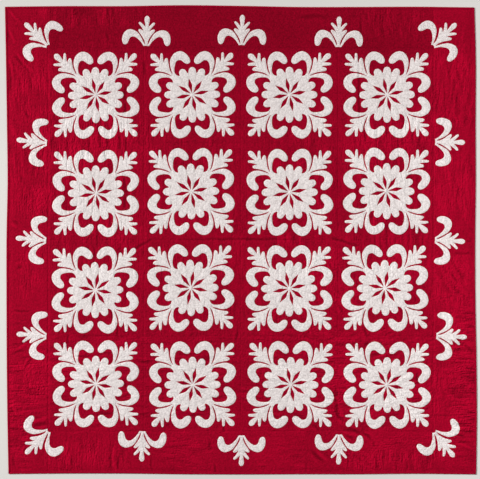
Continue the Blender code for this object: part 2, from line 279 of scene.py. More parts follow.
def on_cloth(x, y):
    """Moves nominal points with the wandering edges. The blocks stay put."""
    down, across = 0.5 - y / HEIGHT, 0.5 + x / WIDTH
    share_x = np.clip((abs(x) - FIELD_HALF[0]) / (HALF_SIZE[0] - FIELD_HALF[0]), 0, None)
    share_y = np.clip((abs(y) - FIELD_HALF[1]) / (HALF_SIZE[1] - FIELD_HALF[1]), 0, None)
    out_x = np.where(x > 0, through(WANDER["right"], down), through(WANDER["left"], down))
    out_y = np.where(y > 0, through(WANDER["top"], across), through(WANDER["bottom"], across))
    return x + np.sign(x) * share_x * out_x * MM, y + np.sign(y) * share_y * out_y * MM


def nominal(x, y):
    """The nominal place of a point on the real cloth."""
    moved_x, moved_y = on_cloth(x, y)
    return 2 * x - moved_x, 2 * y - moved_y


def side_lines(axis):
    """The five seams that cross one axis: two at the borders, three between the blocks."""
    between = [step * BLOCK_PITCH[axis] for step in (-1, 0, 1)]
    return [-FIELD_HALF[axis], *between, FIELD_HALF[axis]]


print("field", [round(2 * s, 3) for s in FIELD_HALF], "in a quilt of", WIDTH, "by", HEIGHT)

# %% [markdown]
# ## How high the cloth lies
#
# A cloth simulation could drape these layers, but they are stitched through and lie flat, and
# their relief is a few millimetres at most. So all the cloth on top follows one height map,
# and the cut-outs, the blocks and the stitches can't part from each other. The map adds up
# what makes a real quilt uneven:
#
# - the wadding's own thickness, and slow swells a hand or two wide;
# - crimps, the small ridges that washing leaves where the stitches shrink less than the cloth;
# - seams, which pull the layers down into a narrow V with small puckers across it;
# - long creases from folding, each a soft trough with a low bank on both sides;
# - the bound edge, which is pressed thin.
#
# Swells and crimps come from `hills`, a grid of random heights joined by smooth curves. It is
# seeded, so each run gives the same quilt. Stretching its grid turns round hills into ridges.


# %% Random hills
TABLE_SIZE = 256


def eased(share):
    """A share from 0 to 1 that starts and ends gently."""
    return share * share * (3 - 2 * share)


def bell(distance, width):
    """1 at no distance, fading to 0 over about twice the width."""
    return np.exp(-((distance / width) ** 2))


@functools.cache
def random_table(seed):
    """Random heights from -1 to 1 on a square grid."""
    return np.random.default_rng(seed).uniform(-1, 1, (TABLE_SIZE, TABLE_SIZE))


def hills(u, v, seed):
    """Smooth random heights from -1 to 1, one hill or hollow to a unit."""
    table = random_table(seed)
    i, j = np.floor(u).astype(int), np.floor(v).astype(int)
    s, t = eased(u - i), eased(v - j)
    i, next_i, j, next_j = (place % TABLE_SIZE for place in (i, i + 1, j, j + 1))
    near = table[i, j] * (1 - s) + table[next_i, j] * s
    far = table[i, next_j] * (1 - s) + table[next_i, next_j] * s
    return near * (1 - t) + far * t


def axes(x, y, degrees):
    """Distances along and across a direction."""
    c, s = math.cos(math.radians(degrees)), math.sin(math.radians(degrees))
    return c * x + s * y, c * y - s * x


print("hills from", random_table(1).min().round(3), "to", random_table(1).max().round(3))

# %% Crimps, in patches that each have their own direction
CRIMP_SEEDS = {"bend": 40, "ridges": 60, "uneven": 80}
CRIMP_BEND = 7 * MM
BEND_LENGTH = 60 * MM
RIDGE_LENGTH = 55 * MM
UNEVEN_SIZE = 45 * MM
CRIMP_LEVEL, CRIMP_CHANGE = 0.8, 0.7
# Past this many reaches a patch has faded out.
PATCH_END = 1.5
CRIMPS = (
    # x, y, reach x, reach y (mm), way the ridges run (degrees), spacing, height (mm)
    (-975, 690, 115, 150, 94, 16, 0.95), (-980, 330, 110, 220, 91, 15, 0.7),
    (-930, 190, 70, 80, 108, 14, 1.0), (-965, -150, 70, 110, 88, 12, 0.8),
    (-985, -640, 120, 160, 3, 13, 1.2), (-930, -640, 60, 70, 90, 13, 0.9),
    (-1030, -860, 70, 200, 0, 12, 0.8), (985, 690, 125, 190, 86, 14, 1.3),
    (975, 240, 115, 170, 90, 12, 1.1), (972, -175, 80, 110, 121, 13, 1.5),
    (975, -300, 110, 90, 92, 12, 1.1), (1030, -640, 70, 330, 1, 15, 2.2),
    (930, -680, 70, 130, 90, 12, 0.9), (-690, 1030, 260, 60, 90, 12, 0.9),
    (680, 1000, 170, 90, 92, 13, 0.6), (-700, -990, 190, 90, 91, 13, 0.9),
    (-250, -985, 120, 90, 1, 13, 0.7), (180, -1000, 120, 80, 2, 14, 0.6),
    (540, -1000, 90, 60, 148, 14, 0.9), (790, -925, 170, 40, 3, 14, 0.8),
    (720, -1012, 230, 50, 90, 13, 1.0), (-665, 450, 230, 95, 90, 17, 1.3),
    (-665, 90, 230, 560, 90, 14, 0.7), (-665, 720, 230, 190, 89, 14, 0.5),
    (-225, 40, 220, 560, 88, 14, 0.6), (225, 120, 220, 560, 92, 15, 0.65),
    (690, 450, 190, 90, 91, 14, 1.0), (665, 200, 230, 480, 90, 14, 0.8),
    (-665, -640, 230, 240, 8, 15, 0.7), (-225, -640, 220, 250, 4, 14, 0.7),
    (225, -640, 220, 260, 172, 14, 0.8), (445, -640, 60, 190, 2, 15, 1.4),
    (665, -640, 220, 260, 20, 15, 0.9), (520, -260, 330, 200, 140, 15, 0.6),
)


def crimp_patches(x, y):
    """Each patch: its seed, direction and spacing, the points it holds and its height there."""
    for seed, (at_x, at_y, reach_x, reach_y, degrees, spacing, high) in enumerate(CRIMPS):
        right, up = abs(x / MM - at_x) / reach_x, abs(y / MM - at_y) / reach_y
        held = (right < PATCH_END) & (up < PATCH_END)
        fade = np.exp(-(right[held] ** 4) - up[held] ** 4)
        place = x[held] / UNEVEN_SIZE, y[held] / UNEVEN_SIZE
        uneven = CRIMP_LEVEL + CRIMP_CHANGE * hills(*place, CRIMP_SEEDS["uneven"] + seed)
        yield seed, degrees, spacing * MM, held, fade * uneven * high * MM


def crimp_height(x, y):
    """The small ridges of all patches."""
    total = np.zeros_like(x)
    for seed, degrees, spacing, held, high in crimp_patches(x, y):
        along, across = axes(x[held], y[held], degrees)
        wave = hills(along / BEND_LENGTH, across / UNEVEN_SIZE, CRIMP_SEEDS["bend"] + seed)
        # Two hills to a spacing, because one goes up and the next goes down.
        ridge = 2 * (across + CRIMP_BEND * wave) / spacing
        total[held] += high * hills(ridge, along / RIDGE_LENGTH, CRIMP_SEEDS["ridges"] + seed)
    return total


def crimp_ways(x, y):
    """How much of the crimps' height runs up and down the quilt, and how much across it."""
    up, across = np.zeros_like(x), np.zeros_like(x)
    for _, degrees, _, held, high in crimp_patches(x, y):
        up[held] += high * abs(math.sin(math.radians(degrees)))
        across[held] += high * abs(math.cos(math.radians(degrees)))
    return up, across


print(len(CRIMPS), "patches of crimps")

# %% Height of the seams
SIDE_SEAM_DEPTH = 1.0 * MM
SEAM_DEPTH = 0.5 * MM
SEAM_SOFT = 2.6 * MM
BORDER_REACH = 12 * MM
SEAM_SEED = 7
SEAM_PUCKER = 0.3 * MM
SEAM_PUCKER_SIZE = 9 * MM
SEAM_PUCKER_REACH = 10 * MM
SEAM_ROLL = 0.2
ROLL_IN = 9 * MM
ROLL_SOFT = 5 * MM
FAR_OFF = 1.0


def seam_gap(x, y):
    """Distance to the nearest patchwork seam."""
    gap = np.full_like(x, FAR_OFF)
    for line_x, line_y in zip(side_lines(0), side_lines(1)):
        # The seams of the side borders run the full height, and the others end at them.
        on_x = (abs(line_x) == FIELD_HALF[0]) | (abs(y) <= FIELD_HALF[1])
        gap = np.where(on_x, np.minimum(gap, abs(x - line_x)), gap)
        gap = np.where(abs(x) <= FIELD_HALF[0], np.minimum(gap, abs(y - line_y)), gap)
    return gap


def seam_height(x, y):
    """The V over each seam, with puckers that run across it."""
    gap = seam_gap(x, y)
    at_side = abs(abs(x) - FIELD_HALF[0]) < BORDER_REACH
    depth = np.where(at_side, SIDE_SEAM_DEPTH, SEAM_DEPTH)
    puckers = hills(x / SEAM_PUCKER_SIZE, y / SEAM_PUCKER_SIZE, SEAM_SEED)
    puckers = SEAM_PUCKER * puckers * bell(gap, SEAM_PUCKER_REACH)
    rolls = SEAM_ROLL * depth * bell(gap - ROLL_IN, ROLL_SOFT)
    return puckers + rolls - depth * bell(gap, SEAM_SOFT)


dip = -seam_height(np.array([FIELD_HALF[0]]), np.zeros(1))[0] / MM
print("a side seam dips", dip.round(2), "mm at its middle")

# %% [markdown]
# ## Creases
#
# An old quilt keeps the creases of its folding and its washing. Noise could make some, but the
# eye knows the real ones by their places, so each crease is one row of a table. The main ones
# are where the solid model has them, and lesser wrinkles are added between them.

# %% Where the cloth is creased
CREASES = (
    # x, y (mm), direction (degrees), half length, half width, depth (mm)
    (-1018, 823, 128, 30, 9, 1.2), (-1056, 740, 93, 72, 10, 1.2), (-978, 574, 120, 24, 9, 1.2),
    (-1052, 335, 92, 46, 8, 0.9), (-1034, 80, 150, 22, 8, 1.1), (-1000, -327, 1, 42, 7, 1.2),
    (-1012, -474, 14, 46, 8, 1.2), (-1035, -693, 0, 34, 7, 1.0), (-1036, -867, 0, 34, 7, 1.0),
    (-918, -846, 14, 38, 10, 1.4), (-599, -1020, 88, 38, 9, 1.3), (-410, -1026, 90, 38, 6, 1.2),
    (350, -990, 138, 44, 12, 1.0), (0, 2, 0, 300, 9, 0.7), (-455, -22, 28, 62, 9, 1.2),
    (470, -8, 164, 78, 9, 1.2), (438, -745, 94, 100, 12, 1.2), (510, -872, 167, 46, 11, 1.5),
    (578, -897, 146, 28, 9, 1.5), (488, -1008, 90, 54, 6, 1.2), (759, -1026, 90, 36, 6, 1.2),
    (1018, -64, 178, 44, 9, 1.2), (974, -173, 123, 34, 8, 1.1), (1008, -166, 118, 42, 8, 1.0),
    (1036, -495, 140, 26, 9, 1.0), (1045, -590, 0, 26, 6, 1.0), (1047, -789, 178, 24, 8, 1.1),
    (1034, -878, 178, 36, 9, 1.2), (1020, -925, 172, 34, 8, 1.0), (576, 1024, 90, 26, 7, 1.1),
    (-606, 1044, 90, 26, 9, 1.1), (-612, 932, 105, 22, 8, 1.0),
)
# A negative depth stands up as a ridge.
WRINKLES = (
    # left border
    (-1030, 1023, 125, 50, 8, -0.9), (-1045, 932, 109, 45, 8, -1.0), (-1065, 940, 94, 30, 8, 0.9),
    (-985, 806, 129, 68, 9, -1.2), (-1049, 806, 111, 26, 8, -1.1), (-1021, 773, 116, 34, 9, -0.9),
    (-1008, 698, 95, 56, 7, 0.9), (-1028, 690, 92, 50, 7, -0.8), (-1042, 494, 95, 22, 14, -1.0),
    (-1063, 420, 90, 22, 8, 1.0), (-1040, 372, 90, 34, 8, -0.7), (-1000, 370, 90, 40, 10, -0.7),
    (-1008, 277, 81, 20, 7, 1.0), (-1040, 64, 150, 22, 8, -0.9), (-1060, -78, 90, 28, 8, 1.0),
    (-1014, -124, 20, 16, 9, 1.0), (-1018, -106, 15, 16, 7, -0.8), (-1020, -385, 5, 24, 6, 0.8),
    (-1018, -513, 12, 38, 8, 1.2), (-1007, -494, 33, 36, 8, -1.2), (-990, -540, 10, 24, 7, 1.0),
    (-986, -560, 60, 28, 8, -1.0), (-971, -562, 60, 26, 7, 1.0), (-1034, -785, 115, 34, 8, -1.0),
    (-1052, -776, 90, 16, 8, 1.1), (-1040, -807, 0, 28, 6, 0.9), (-920, -823, 16, 38, 9, -1.3),
    (-1005, -961, 60, 22, 8, -1.0), (-990, -1053, 0, 40, 7, -0.9), (-1050, -1010, 90, 40, 12, 0.9),
    # right border
    (1017, 938, 84, 46, 7, -0.7), (1011, 824, 73, 28, 8, -1.0), (1059, 595, 82, 18, 8, 1.2),
    (954, 650, 80, 16, 6, -0.9), (1035, 127, 105, 22, 7, -0.9), (1040, -10, 0, 14, 7, 1.0),
    (934, -140, 120, 28, 8, 1.2), (991, -160, 121, 36, 7, -0.8), (1003, -277, 100, 12, 8, 1.0),
    (1050, -397, 0, 24, 8, 1.1), (1020, -386, 3, 38, 8, -0.9), (978, -535, 140, 16, 8, 1.2),
    (1020, -546, 176, 36, 7, 0.9), (1040, -562, 100, 30, 7, -0.8), (948, -592, 0, 50, 7, -0.8),
    (948, -624, 0, 50, 7, -0.8), (930, -804, 177, 48, 6, 1.0), (1000, -899, 170, 30, 7, 1.0),
    (1020, -944, 163, 46, 8, -1.2),
    # top border
    (-588, 1044, 92, 24, 7, 1.0), (330, 1026, 0, 80, 14, 0.6), (549, 960, 92, 90, 6, 0.9),
    (678, 972, 100, 24, 9, 0.9),
    # bottom border
    (-582, -998, 92, 66, 9, -1.5), (-561, -1022, 88, 32, 8, 1.2), (-540, -967, 80, 40, 16, 0.8),
    (-772, -1027, 90, 28, 7, 1.0), (-836, -995, 41, 26, 8, 0.9), (-119, -1045, 92, 24, 7, 1.2),
    (-145, -940, 85, 32, 10, 0.9), (298, -1040, 90, 26, 6, 1.1), (372, -990, 138, 38, 10, -0.9),
    (498, -906, 155, 28, 8, 1.2), (507, -889, 165, 42, 7, -1.1), (607, -935, 90, 14, 7, 1.4),
    (536, -998, 140, 32, 8, 0.9),
    # between the blocks, and across them
    (-648, 470, 90, 54, 8, 1.4), (-554, 447, 90, 46, 8, 1.4), (-528, 440, 90, 40, 7, 1.1),
    (-580, 450, 90, 36, 7, 1.0), (-611, 455, 90, 36, 7, 1.0), (-770, 450, 90, 30, 7, 0.9),
    (-531, 668, 90, 38, 9, 1.4), (-531, 600, 90, 32, 9, 1.3), (-534, 262, 90, 32, 9, 1.3),
    (-531, 170, 90, 32, 9, 1.3), (-660, 10, 90, 54, 7, 1.1), (-440, 785, 90, 36, 9, 1.2),
    (-795, -456, 90, 26, 7, 1.2), (-565, -416, 90, 36, 7, 1.2), (-17, -436, 78, 26, 9, 1.2),
    (-715, -533, 0, 48, 7, 1.1), (-623, -522, 5, 42, 7, 1.1), (-251, -522, 0, 52, 8, 1.0),
    (-440, -558, 0, 36, 10, 1.2), (-451, -797, 0, 32, 7, 1.0), (-617, -794, 0, 42, 8, 1.0),
    (-210, -800, 0, 42, 8, 0.9), (-531, -665, 90, 24, 8, 1.2), (-78, -860, 90, 20, 8, 1.2),
    (540, 690, 91, 190, 7, 1.4), (568, 466, 80, 24, 9, 1.3), (577, -475, 20, 11, 11, 2.2),
    (570, -425, 110, 30, 7, 1.2), (638, -470, 118, 28, 7, 1.1), (349, -862, 130, 22, 8, 1.0),
    (806, -632, 95, 32, 8, 1.2), (456, -516, 0, 26, 9, 1.3), (14, -697, 0, 26, 8, 1.0),
    (440, -610, 178, 30, 8, 1.1), (444, -700, 170, 32, 9, 1.2), (450, -806, 130, 40, 11, 1.5),
)
print(len(CREASES), "main creases and", len(WRINKLES), "lesser wrinkles")

# %% Height of the creases
CREASE_SEED = 100
CREASE_BEND = 3 * MM
CREASE_BEND_LENGTH = 30 * MM
# Shares of a crease's half length, of its half width and of its depth.
FADE_LENGTH = 0.8
TROUGH_WIDTH, BANK_AT, BANK_WIDTH, CREASE_END = 0.58, 1.3, 0.6, 2.5
BANK_HEIGHT = 0.35


def crease_height(x, y):
    """Soft troughs with a low bank on both sides, or ridges with a low trough."""
    total = np.zeros_like(x)
    for seed, (at_x, at_y, degrees, *sizes) in enumerate(CREASES + WRINKLES):
        half_length, half_width, depth = (size * MM for size in sizes)
        reach = half_length + CREASE_END * half_width
        near = (abs(x - at_x * MM) < reach) & (abs(y - at_y * MM) < reach)
        along, across = axes(x[near] - at_x * MM, y[near] - at_y * MM, degrees)
        wave = hills(along / CREASE_BEND_LENGTH, along * 0, CREASE_SEED + seed)
        across = across + CREASE_BEND * wave
        fade = np.exp(-((along / (FADE_LENGTH * half_length)) ** 4))
        trough = bell(across, TROUGH_WIDTH * half_width)
        banks = bell(abs(across) - BANK_AT * half_width, BANK_WIDTH * half_width)
        total[near] += depth * fade * (BANK_HEIGHT * banks - trough)
    return total


across_fold = np.linspace(-10, 10, 41) * MM
dip = -crease_height(np.zeros_like(across_fold), across_fold).min() / MM
print("the fold across the middle dips", dip.round(2), "mm")

# %% The whole height map
LOFT = 4.0 * MM
LEAST_HEIGHT = 1.2 * MM
SWELL = 0.45 * MM
SWELLS = (
    # share, size, seed
    (1.0, 160 * MM, 1),
    (0.2, 60 * MM, 2),
)
EDGE_HEIGHT = 2.4 * MM
EDGE_RELIEF = 0.15
EDGE_FLAT = 10 * MM
EDGE_ROLL = 34 * MM


def wrinkle_height(x, y):
    """The crimps and the creases together."""
    return crimp_height(x, y) + crease_height(x, y)


def cloth_height(x, y):
    """Height of the quilt's top at nominal points, before any cut-out is sewn on."""
    swell = sum(share * hills(x / size, y / size, seed) for share, size, seed in SWELLS)
    high = LOFT + SWELL * swell + wrinkle_height(x, y) + seam_height(x, y)
    inset = np.minimum(HALF_SIZE[0] - abs(x), HALF_SIZE[1] - abs(y))
    press = eased(np.clip((EDGE_ROLL - inset) / (EDGE_ROLL - EDGE_FLAT), 0, 1))
    pressed = EDGE_HEIGHT + EDGE_RELIEF * (high - LOFT)
    return np.clip(high * (1 - press) + pressed * press, LEAST_HEIGHT, None)


sample = np.linspace(-0.8, 0.8, 200)
heights = cloth_height(*np.meshgrid(sample, sample)) / MM
print("cloth from", heights.min().round(2), "to", heights.max().round(2), "mm above the floor")

# %% [markdown]
# ## Wear and painted shade
#
# A ridge of an old cloth is rubbed pale, and a trough is painted deeper than the cloth as painted
# shade. The finish could ask how high a point lies, but then it would also pale the wadding's
# swells, which don't wear. So each point of a sheet keeps three numbers that are worked out from
# the crimps and creases, not from the height: its wear with its painted shade, and how much it is
# crimped each way. The finish reads them by their names.

# %% Marks of wear and painted shade
# A ridge this high is fully worn pale. A trough this deep gets painted shade, and a deeper one
# gets more, down to the least value.
WEAR_AND_SHADE_HEIGHT = 0.9 * MM
DEEPEST_PAINTED_SHADE, WORN_MOST = -1.5, 1
CRIMP_WEAR = 0.5
FLAT_DEEPER = 0.25
SIDE_AND_FOOT_PALER = 0.25
TOP_DEEPER = 0.3


def cloth_marks(x, y):
    """What a finish needs at each point: wear and painted shade, and which way it is crimped."""
    up, across = crimp_ways(x, y)
    # Ridges are worn pale, and troughs are painted darker as painted shade.
    wear_and_shade = np.clip(wrinkle_height(x, y) / WEAR_AND_SHADE_HEIGHT, DEEPEST_PAINTED_SHADE, WORN_MOST) - FLAT_DEEPER
    wear_and_shade += CRIMP_WEAR * (up + across) / MM
    # Paler toward the side borders and the foot, and deeper in the top border's strip.
    side_or_foot = np.maximum(abs(x) - FIELD_HALF[0], -y - FIELD_HALF[1])
    wear_and_shade += SIDE_AND_FOOT_PALER * np.clip(side_or_foot / EDGE_ROLL + 1, 0, 1)
    in_top_strip = np.clip((y - FIELD_HALF[1]) / EDGE_ROLL + 1, 0, 1) * (abs(x) <= FIELD_HALF[0])
    wear_and_shade -= TOP_DEEPER * in_top_strip
    return {"wear_and_shade": wear_and_shade, "crimped_up": up / MM, "crimped_across": across / MM}


wear_and_shade_amount = cloth_marks(*np.meshgrid(sample, sample))["wear_and_shade"]
print("wear from", wear_and_shade_amount.min().round(2), "to", wear_and_shade_amount.max().round(2))

# %% [markdown]
# ## Shapes cut from folded paper
#
# The white shapes are cut-outs: cloth folded like a paper snowflake and cut through all its
# layers at once. So a block's motif is one shape, drawn once over half of its diagonal and
# then mirrored and turned. It holds a rosette of round petals with eight narrow slits, and on
# each diagonal a leaf between two curled scrolls.
#
# Blender's own curves could draw it, but numbers can be mirrored, measured and offset at once.
# So an edge is a list of runs. Each run is a smooth curve through a few points in millimetres,
# measured along the diagonal and away from it, and a corner is where two runs meet. The
# script steps along each run at an even pace, because the cloth's mesh wants even points.


# %% Smooth edges with sharp corners
CUT_STEP = 3 * MM
FINE_STEPS = 12


def even_steps(points, step):
    """The same path in even steps, with its ends kept."""
    walked = np.concatenate([[0], np.cumsum(np.hypot(*np.diff(points, axis=0).T))])
    even = np.linspace(0, walked[-1], max(1, round(walked[-1] / step)) + 1)
    return np.column_stack([np.interp(even, walked, points[:, axis]) for axis in (0, 1)])


def smooth_run(points):
    """A smooth curve in metres through points in millimetres."""
    fixed = np.array(points, float) * MM
    shares = np.linspace(0, 1, FINE_STEPS * (len(fixed) - 1) + 1)
    fine = np.column_stack([through(fixed[:, axis], shares) for axis in (0, 1)])
    return even_steps(fine, CUT_STEP)


def closed_edge(runs):
    """One closed edge from runs that share their corners."""
    return np.concatenate([smooth_run(run)[:-1] for run in runs])


def turned(points, degrees):
    """Points turned about the origin."""
    c, s = math.cos(math.radians(degrees)), math.sin(math.radians(degrees))
    return np.asarray(points) @ np.array([[c, s], [-s, c]])


def both_sides(side, tip):
    """Runs out along one side of an axis, round the tip and back along the other side."""
    there = [[(along, -away) for along, away in run] for run in side]
    round_tip = [(along, -away) for along, away in tip] + tip[-2::-1]
    return [*there, round_tip, *[run[::-1] for run in side[::-1]]]


print("a straight 9 mm run has", len(smooth_run([(0, 0), (9, 0)])), "points")

# %% [markdown]
# ## Leaf, scroll and rosette
#
# Half of the growth on a diagonal is enough: the scroll from the stem out to its curl and
# back, then the leaf's two fingers and half of its round tip. Round the middle stand sixteen
# lobes, one every 22.5 degrees: twelve petals and four stems. Each slit is a long diamond that
# points at a valley between two petals.

# %% One block motif from an eighth of its edge
STEM_VALLEY = (105, 18.5)
LEAF_NOTCH = (127, 4)
BLOCK_SCROLL = [
    STEM_VALLEY, (114.5, 14.8), (128, 16.7), (140.5, 26.5), (151, 38.8), (158, 51), (159.5, 62),
    (152.3, 73.3), (140, 76.7), (128, 78.3), (119, 82.3), (113, 90), (114.3, 100.8),
    (126.5, 109.8), (146, 112.8), (165, 109.7), (181.6, 99.4), (190.2, 85), (192.2, 69),
    (187.7, 51), (180.5, 38.3), (170.5, 28.2), (158.3, 20.4), (144, 12.4), LEAF_NOTCH,
]
FIRST_VALLEY = (195.5, 14.5)
SECOND_VALLEY = (216, 6)
LEAF_SIDE = [
    [LEAF_NOTCH, (140, 6), (155, 11.8), (168, 19.5), (179.5, 27.6), (190, 35.4), (195.5, 38.8),
     (199.8, 39.8), (203.8, 37.5), (205.2, 32.8), (203.6, 26), (199.5, 18.7), FIRST_VALLEY],
    [FIRST_VALLEY, (203, 17.2), (212, 23.9), (220, 30.9), (226.4, 36.5), (231, 38.5),
     (235.2, 37), (236.8, 33), (233.6, 27), (227, 19.4), (221, 12), SECOND_VALLEY],
]
LEAF_TIP = [SECOND_VALLEY, (222, 8.6), (230, 10.6), (239, 12.3), (248, 13.3), (257, 11),
            (262.5, 5.8), (264.3, 0)]

LOBES = 16
LOBE_STEP = 360 / LOBES
PETAL_VALLEY = 101
PETAL_RADIUS = 128
PETAL_FLANK = ((-25, 18), (-13, 15.8), (-4, 10.2))
SLIT_SIDE = [(8, 0), (18, 2.7), (30, 5.5), (40, 8.2), (46, 8.6), (53, 7.2), (66, 3.4), (78, 0)]
SLIT_TURNS = [LOBE_STEP * (step + 0.5) for step in range(0, LOBES, 2)]


def petal(degrees):
    """One round petal as a run, from the valley before it to the valley after it."""
    half = [(PETAL_RADIUS + back, away) for back, away in PETAL_FLANK]
    before, after = (turned([(PETAL_VALLEY, 0)], s * LOBE_STEP / 2)[0] for s in (-1, 1))
    run = [before, *[(a, -c) for a, c in half], (PETAL_RADIUS, 0), *half[::-1], after]
    return turned(run, degrees)


def motif_edges():
    """The block motif's outer edge, anticlockwise, and its slits, clockwise."""
    growth = [turned(run, 45) for run in both_sides([BLOCK_SCROLL, *LEAF_SIDE], LEAF_TIP)]
    quarter = [petal(0), petal(LOBE_STEP), *growth, petal(3 * LOBE_STEP)]
    quarter[1][-1] = growth[0][0]
    quarter[-1][0] = growth[-1][-1]
    runs = [turned(run, 90 * turn) for turn in range(4) for run in quarter]
    slit = [SLIT_SIDE, [(along, -away) for along, away in SLIT_SIDE[::-1]]]
    slits = [closed_edge([turned(run, turn) for run in slit]) for turn in SLIT_TURNS]
    return [closed_edge(runs), *slits]


block_edges = motif_edges()
print("block motif", len(block_edges[0]), "edge points,", len(block_edges) - 1, "slits")

# %% [markdown]
# ## A border sprig
#
# A sprig is a slightly smaller leaf between two wider scrolls, all one cut-out that holds
# together at its foot. Twelve sprigs stand on a seam, so their foot is cut straight. The four
# in the corners stand on a crossing of seams. Their foot is hollow, the leaf is longer and the
# scrolls lie closer, so the slit between leaf and scroll is wider there.

# %% The sprig's edge
SPRIG_NOTCH = (6, 6)
SPRIG_SCROLL = [
    (13, 20.5), (24, 28.9), (36.3, 41.3), (43.4, 53.3), (44.3, 63.2), (40.3, 71.6),
    (31.5, 77.6), (20.3, 81.1), (10.6, 85.4), (4.9, 92.3), (5, 101.2), (13, 107.7), (25, 110.3),
    (37.8, 110.2), (49.5, 107.3), (61.4, 101.8), (71.8, 91.2), (75.9, 79.5), (76, 69),
    (72.3, 56), (66.2, 44), (59, 35.2), (47.4, 27.4), (33.2, 19.5), (18, 12.6),
]
SPRIG_VALLEYS = ((68, 13.2), (88.5, 7))
SPRIG_LEAF = [
    [SPRIG_NOTCH, (20.7, 7.6), (33, 12.7), (45.7, 20), (57, 27.8), (65.5, 33.7), (71, 36.9),
     (75.2, 36.7), (78.2, 33.4), (76.7, 26), (72.6, 18.4), SPRIG_VALLEYS[0]],
    [SPRIG_VALLEYS[0], (75.5, 16.5), (84, 22.2), (92.5, 28.3), (99, 33.9), (104, 36.7), (108.4, 35.8),
     (110.2, 31.5), (107, 25.3), (100.5, 18), (93.5, 11), SPRIG_VALLEYS[1]],
]
SPRIG_TIP = [SPRIG_VALLEYS[1], (95, 8), (104, 9), (113, 10.7), (124, 12), (132.5, 10),
             (138.5, 5.5), (140.5, 0)]
FOOT_REACH, SLIDE_REACH = 13, 40
SPRIG_KINDS = {
    # foot from the first scroll to the second, slide of the scrolls, slide of the leaf (mm)
    "seam": ([(0.5, 13), (1.5, 0), (0.5, -13)], 0, 0),
    "corner": ([(-4.5, 10.5), (1.5, 4.5), (1.5, -4.5), (-4.5, -10.5)], -3, 6.5),
}


def slid(run, slide):
    """A run slid along the sprig's axis, less and less near the foot."""
    shares = [(math.hypot(*point) - FOOT_REACH) / SLIDE_REACH for point in run]
    return [(a + slide * min(max(share, 0), 1), c) for (a, c), share in zip(run, shares)]


def sprig_edge(foot, scroll_slide, leaf_slide):
    """The edge of a sprig of one kind."""
    scroll = [foot[0], *slid(SPRIG_SCROLL, scroll_slide), SPRIG_NOTCH]
    leaf = [slid(run, leaf_slide) for run in SPRIG_LEAF]
    return closed_edge([*both_sides([scroll, *leaf], slid(SPRIG_TIP, leaf_slide)), foot])


sprig_shapes = {kind: sprig_edge(*sizes) for kind, sizes in SPRIG_KINDS.items()}
print("sprig", {kind: len(edge) for kind, edge in sprig_shapes.items()}, "edge points")

# %% [markdown]
# ## How far is a point from a cut edge?
#
# Almost everything that sewing does follows an edge: the turned-under rim, the quilting line
# inside each white shape, the lines that echo it across the red. So one function measures the
# distance from any point to the nearest edge, negative on the white cloth. A search tree finds
# the nearest edge point, and the two straight steps that meet there give the exact distance.


# %% Signed distance to the nearest edge
def edge_distance(points, edges):
    """Distance to closed edges, negative inside. A hole's edge runs clockwise."""
    here = np.concatenate(edges)
    after = np.concatenate([np.roll(edge, -1, axis=0) for edge in edges])
    before = np.concatenate([np.roll(edge, 1, axis=0) for edge in edges])
    tree = kdtree.KDTree(len(here))
    for index, (x, y) in enumerate(here):
        tree.insert((x, y, 0), index)
    tree.balance()
    near = np.array([tree.find((x, y, 0))[1] for x, y in points])
    corner, way_out = here[near], np.zeros((len(points), 2))
    best = np.full(len(points), np.inf)
    foot = np.array(corner)
    for end, sense in ((after[near], 1), (before[near], -1)):
        step = end - corner
        share = np.clip(((points - corner) * step).sum(1) / (step**2).sum(1), 0, 1)
        touch = corner + step * share[:, None]
        gap = np.hypot(*(points - touch).T)
        out = sense * np.column_stack([step[:, 1], -step[:, 0]]) / np.hypot(*step.T)[:, None]
        way_out = np.where((share > 0)[:, None] & (gap < best)[:, None], 2 * out, way_out)
        way_out = np.where((share <= 0)[:, None] & (gap <= best)[:, None], way_out + out, way_out)
        foot = np.where((gap < best)[:, None], touch, foot)
        best = np.minimum(best, gap)
    return np.where(((points - foot) * way_out).sum(1) > 0, best, -best)


def beside(edge, inset):
    """The edge moved sideways by inset, into the cloth where inset is positive."""
    way = np.roll(edge, -1, axis=0) - np.roll(edge, 1, axis=0)
    way /= np.hypot(*way.T)[:, None]
    return edge + inset * np.column_stack([-way[:, 1], way[:, 0]])


inside = -edge_distance(np.zeros((1, 2)), block_edges)[0] / MM
print("a motif's middle is", inside.round(1), "mm from its slits")

# %% [markdown]
# ## Quilting lines
#
# Quilting is a running stitch through all the layers. Inside each white shape it follows the
# edge a finger's width in, and in the rosette it also runs from each slit to its petal valley
# and down between each pair of petals, which leaves rows of heart shapes. Outside, a line
# hugs each shape, and more lines echo it across the red. Where two stretches of a line would
# come too close, as in the leaf's fingers, the line stops.

# %% Where the stitches run
INNER_LINE = 6 * MM
OUTER_LINE = 4 * MM
# A line goes on while its distance to the nearest edge is this share of what it should be.
KEEPS_OFF = 0.97
CLEFT = (60, 97)
SLIT_TO_VALLEY = (77, 97)


def quilting_runs(edges, inset):
    """Unbroken stretches of a line beside all edges, where it keeps its distance to them."""
    runs = []
    for edge in edges:
        line = beside(edge, inset)
        free = abs(edge_distance(line, edges)) > KEEPS_OFF * abs(inset)
        if free.all():
            runs.append(np.concatenate([line, line[:1]]))
            continue
        start = int(np.argmin(free))
        line, free = np.roll(line, -start, axis=0), np.roll(free, -start)
        breaks = np.flatnonzero(np.diff(free.astype(int))) + 1
        pieces = zip(np.split(line, breaks), np.split(free, breaks))
        runs += [piece for piece, kept in pieces if kept[0] and len(piece) > 2]
    return runs


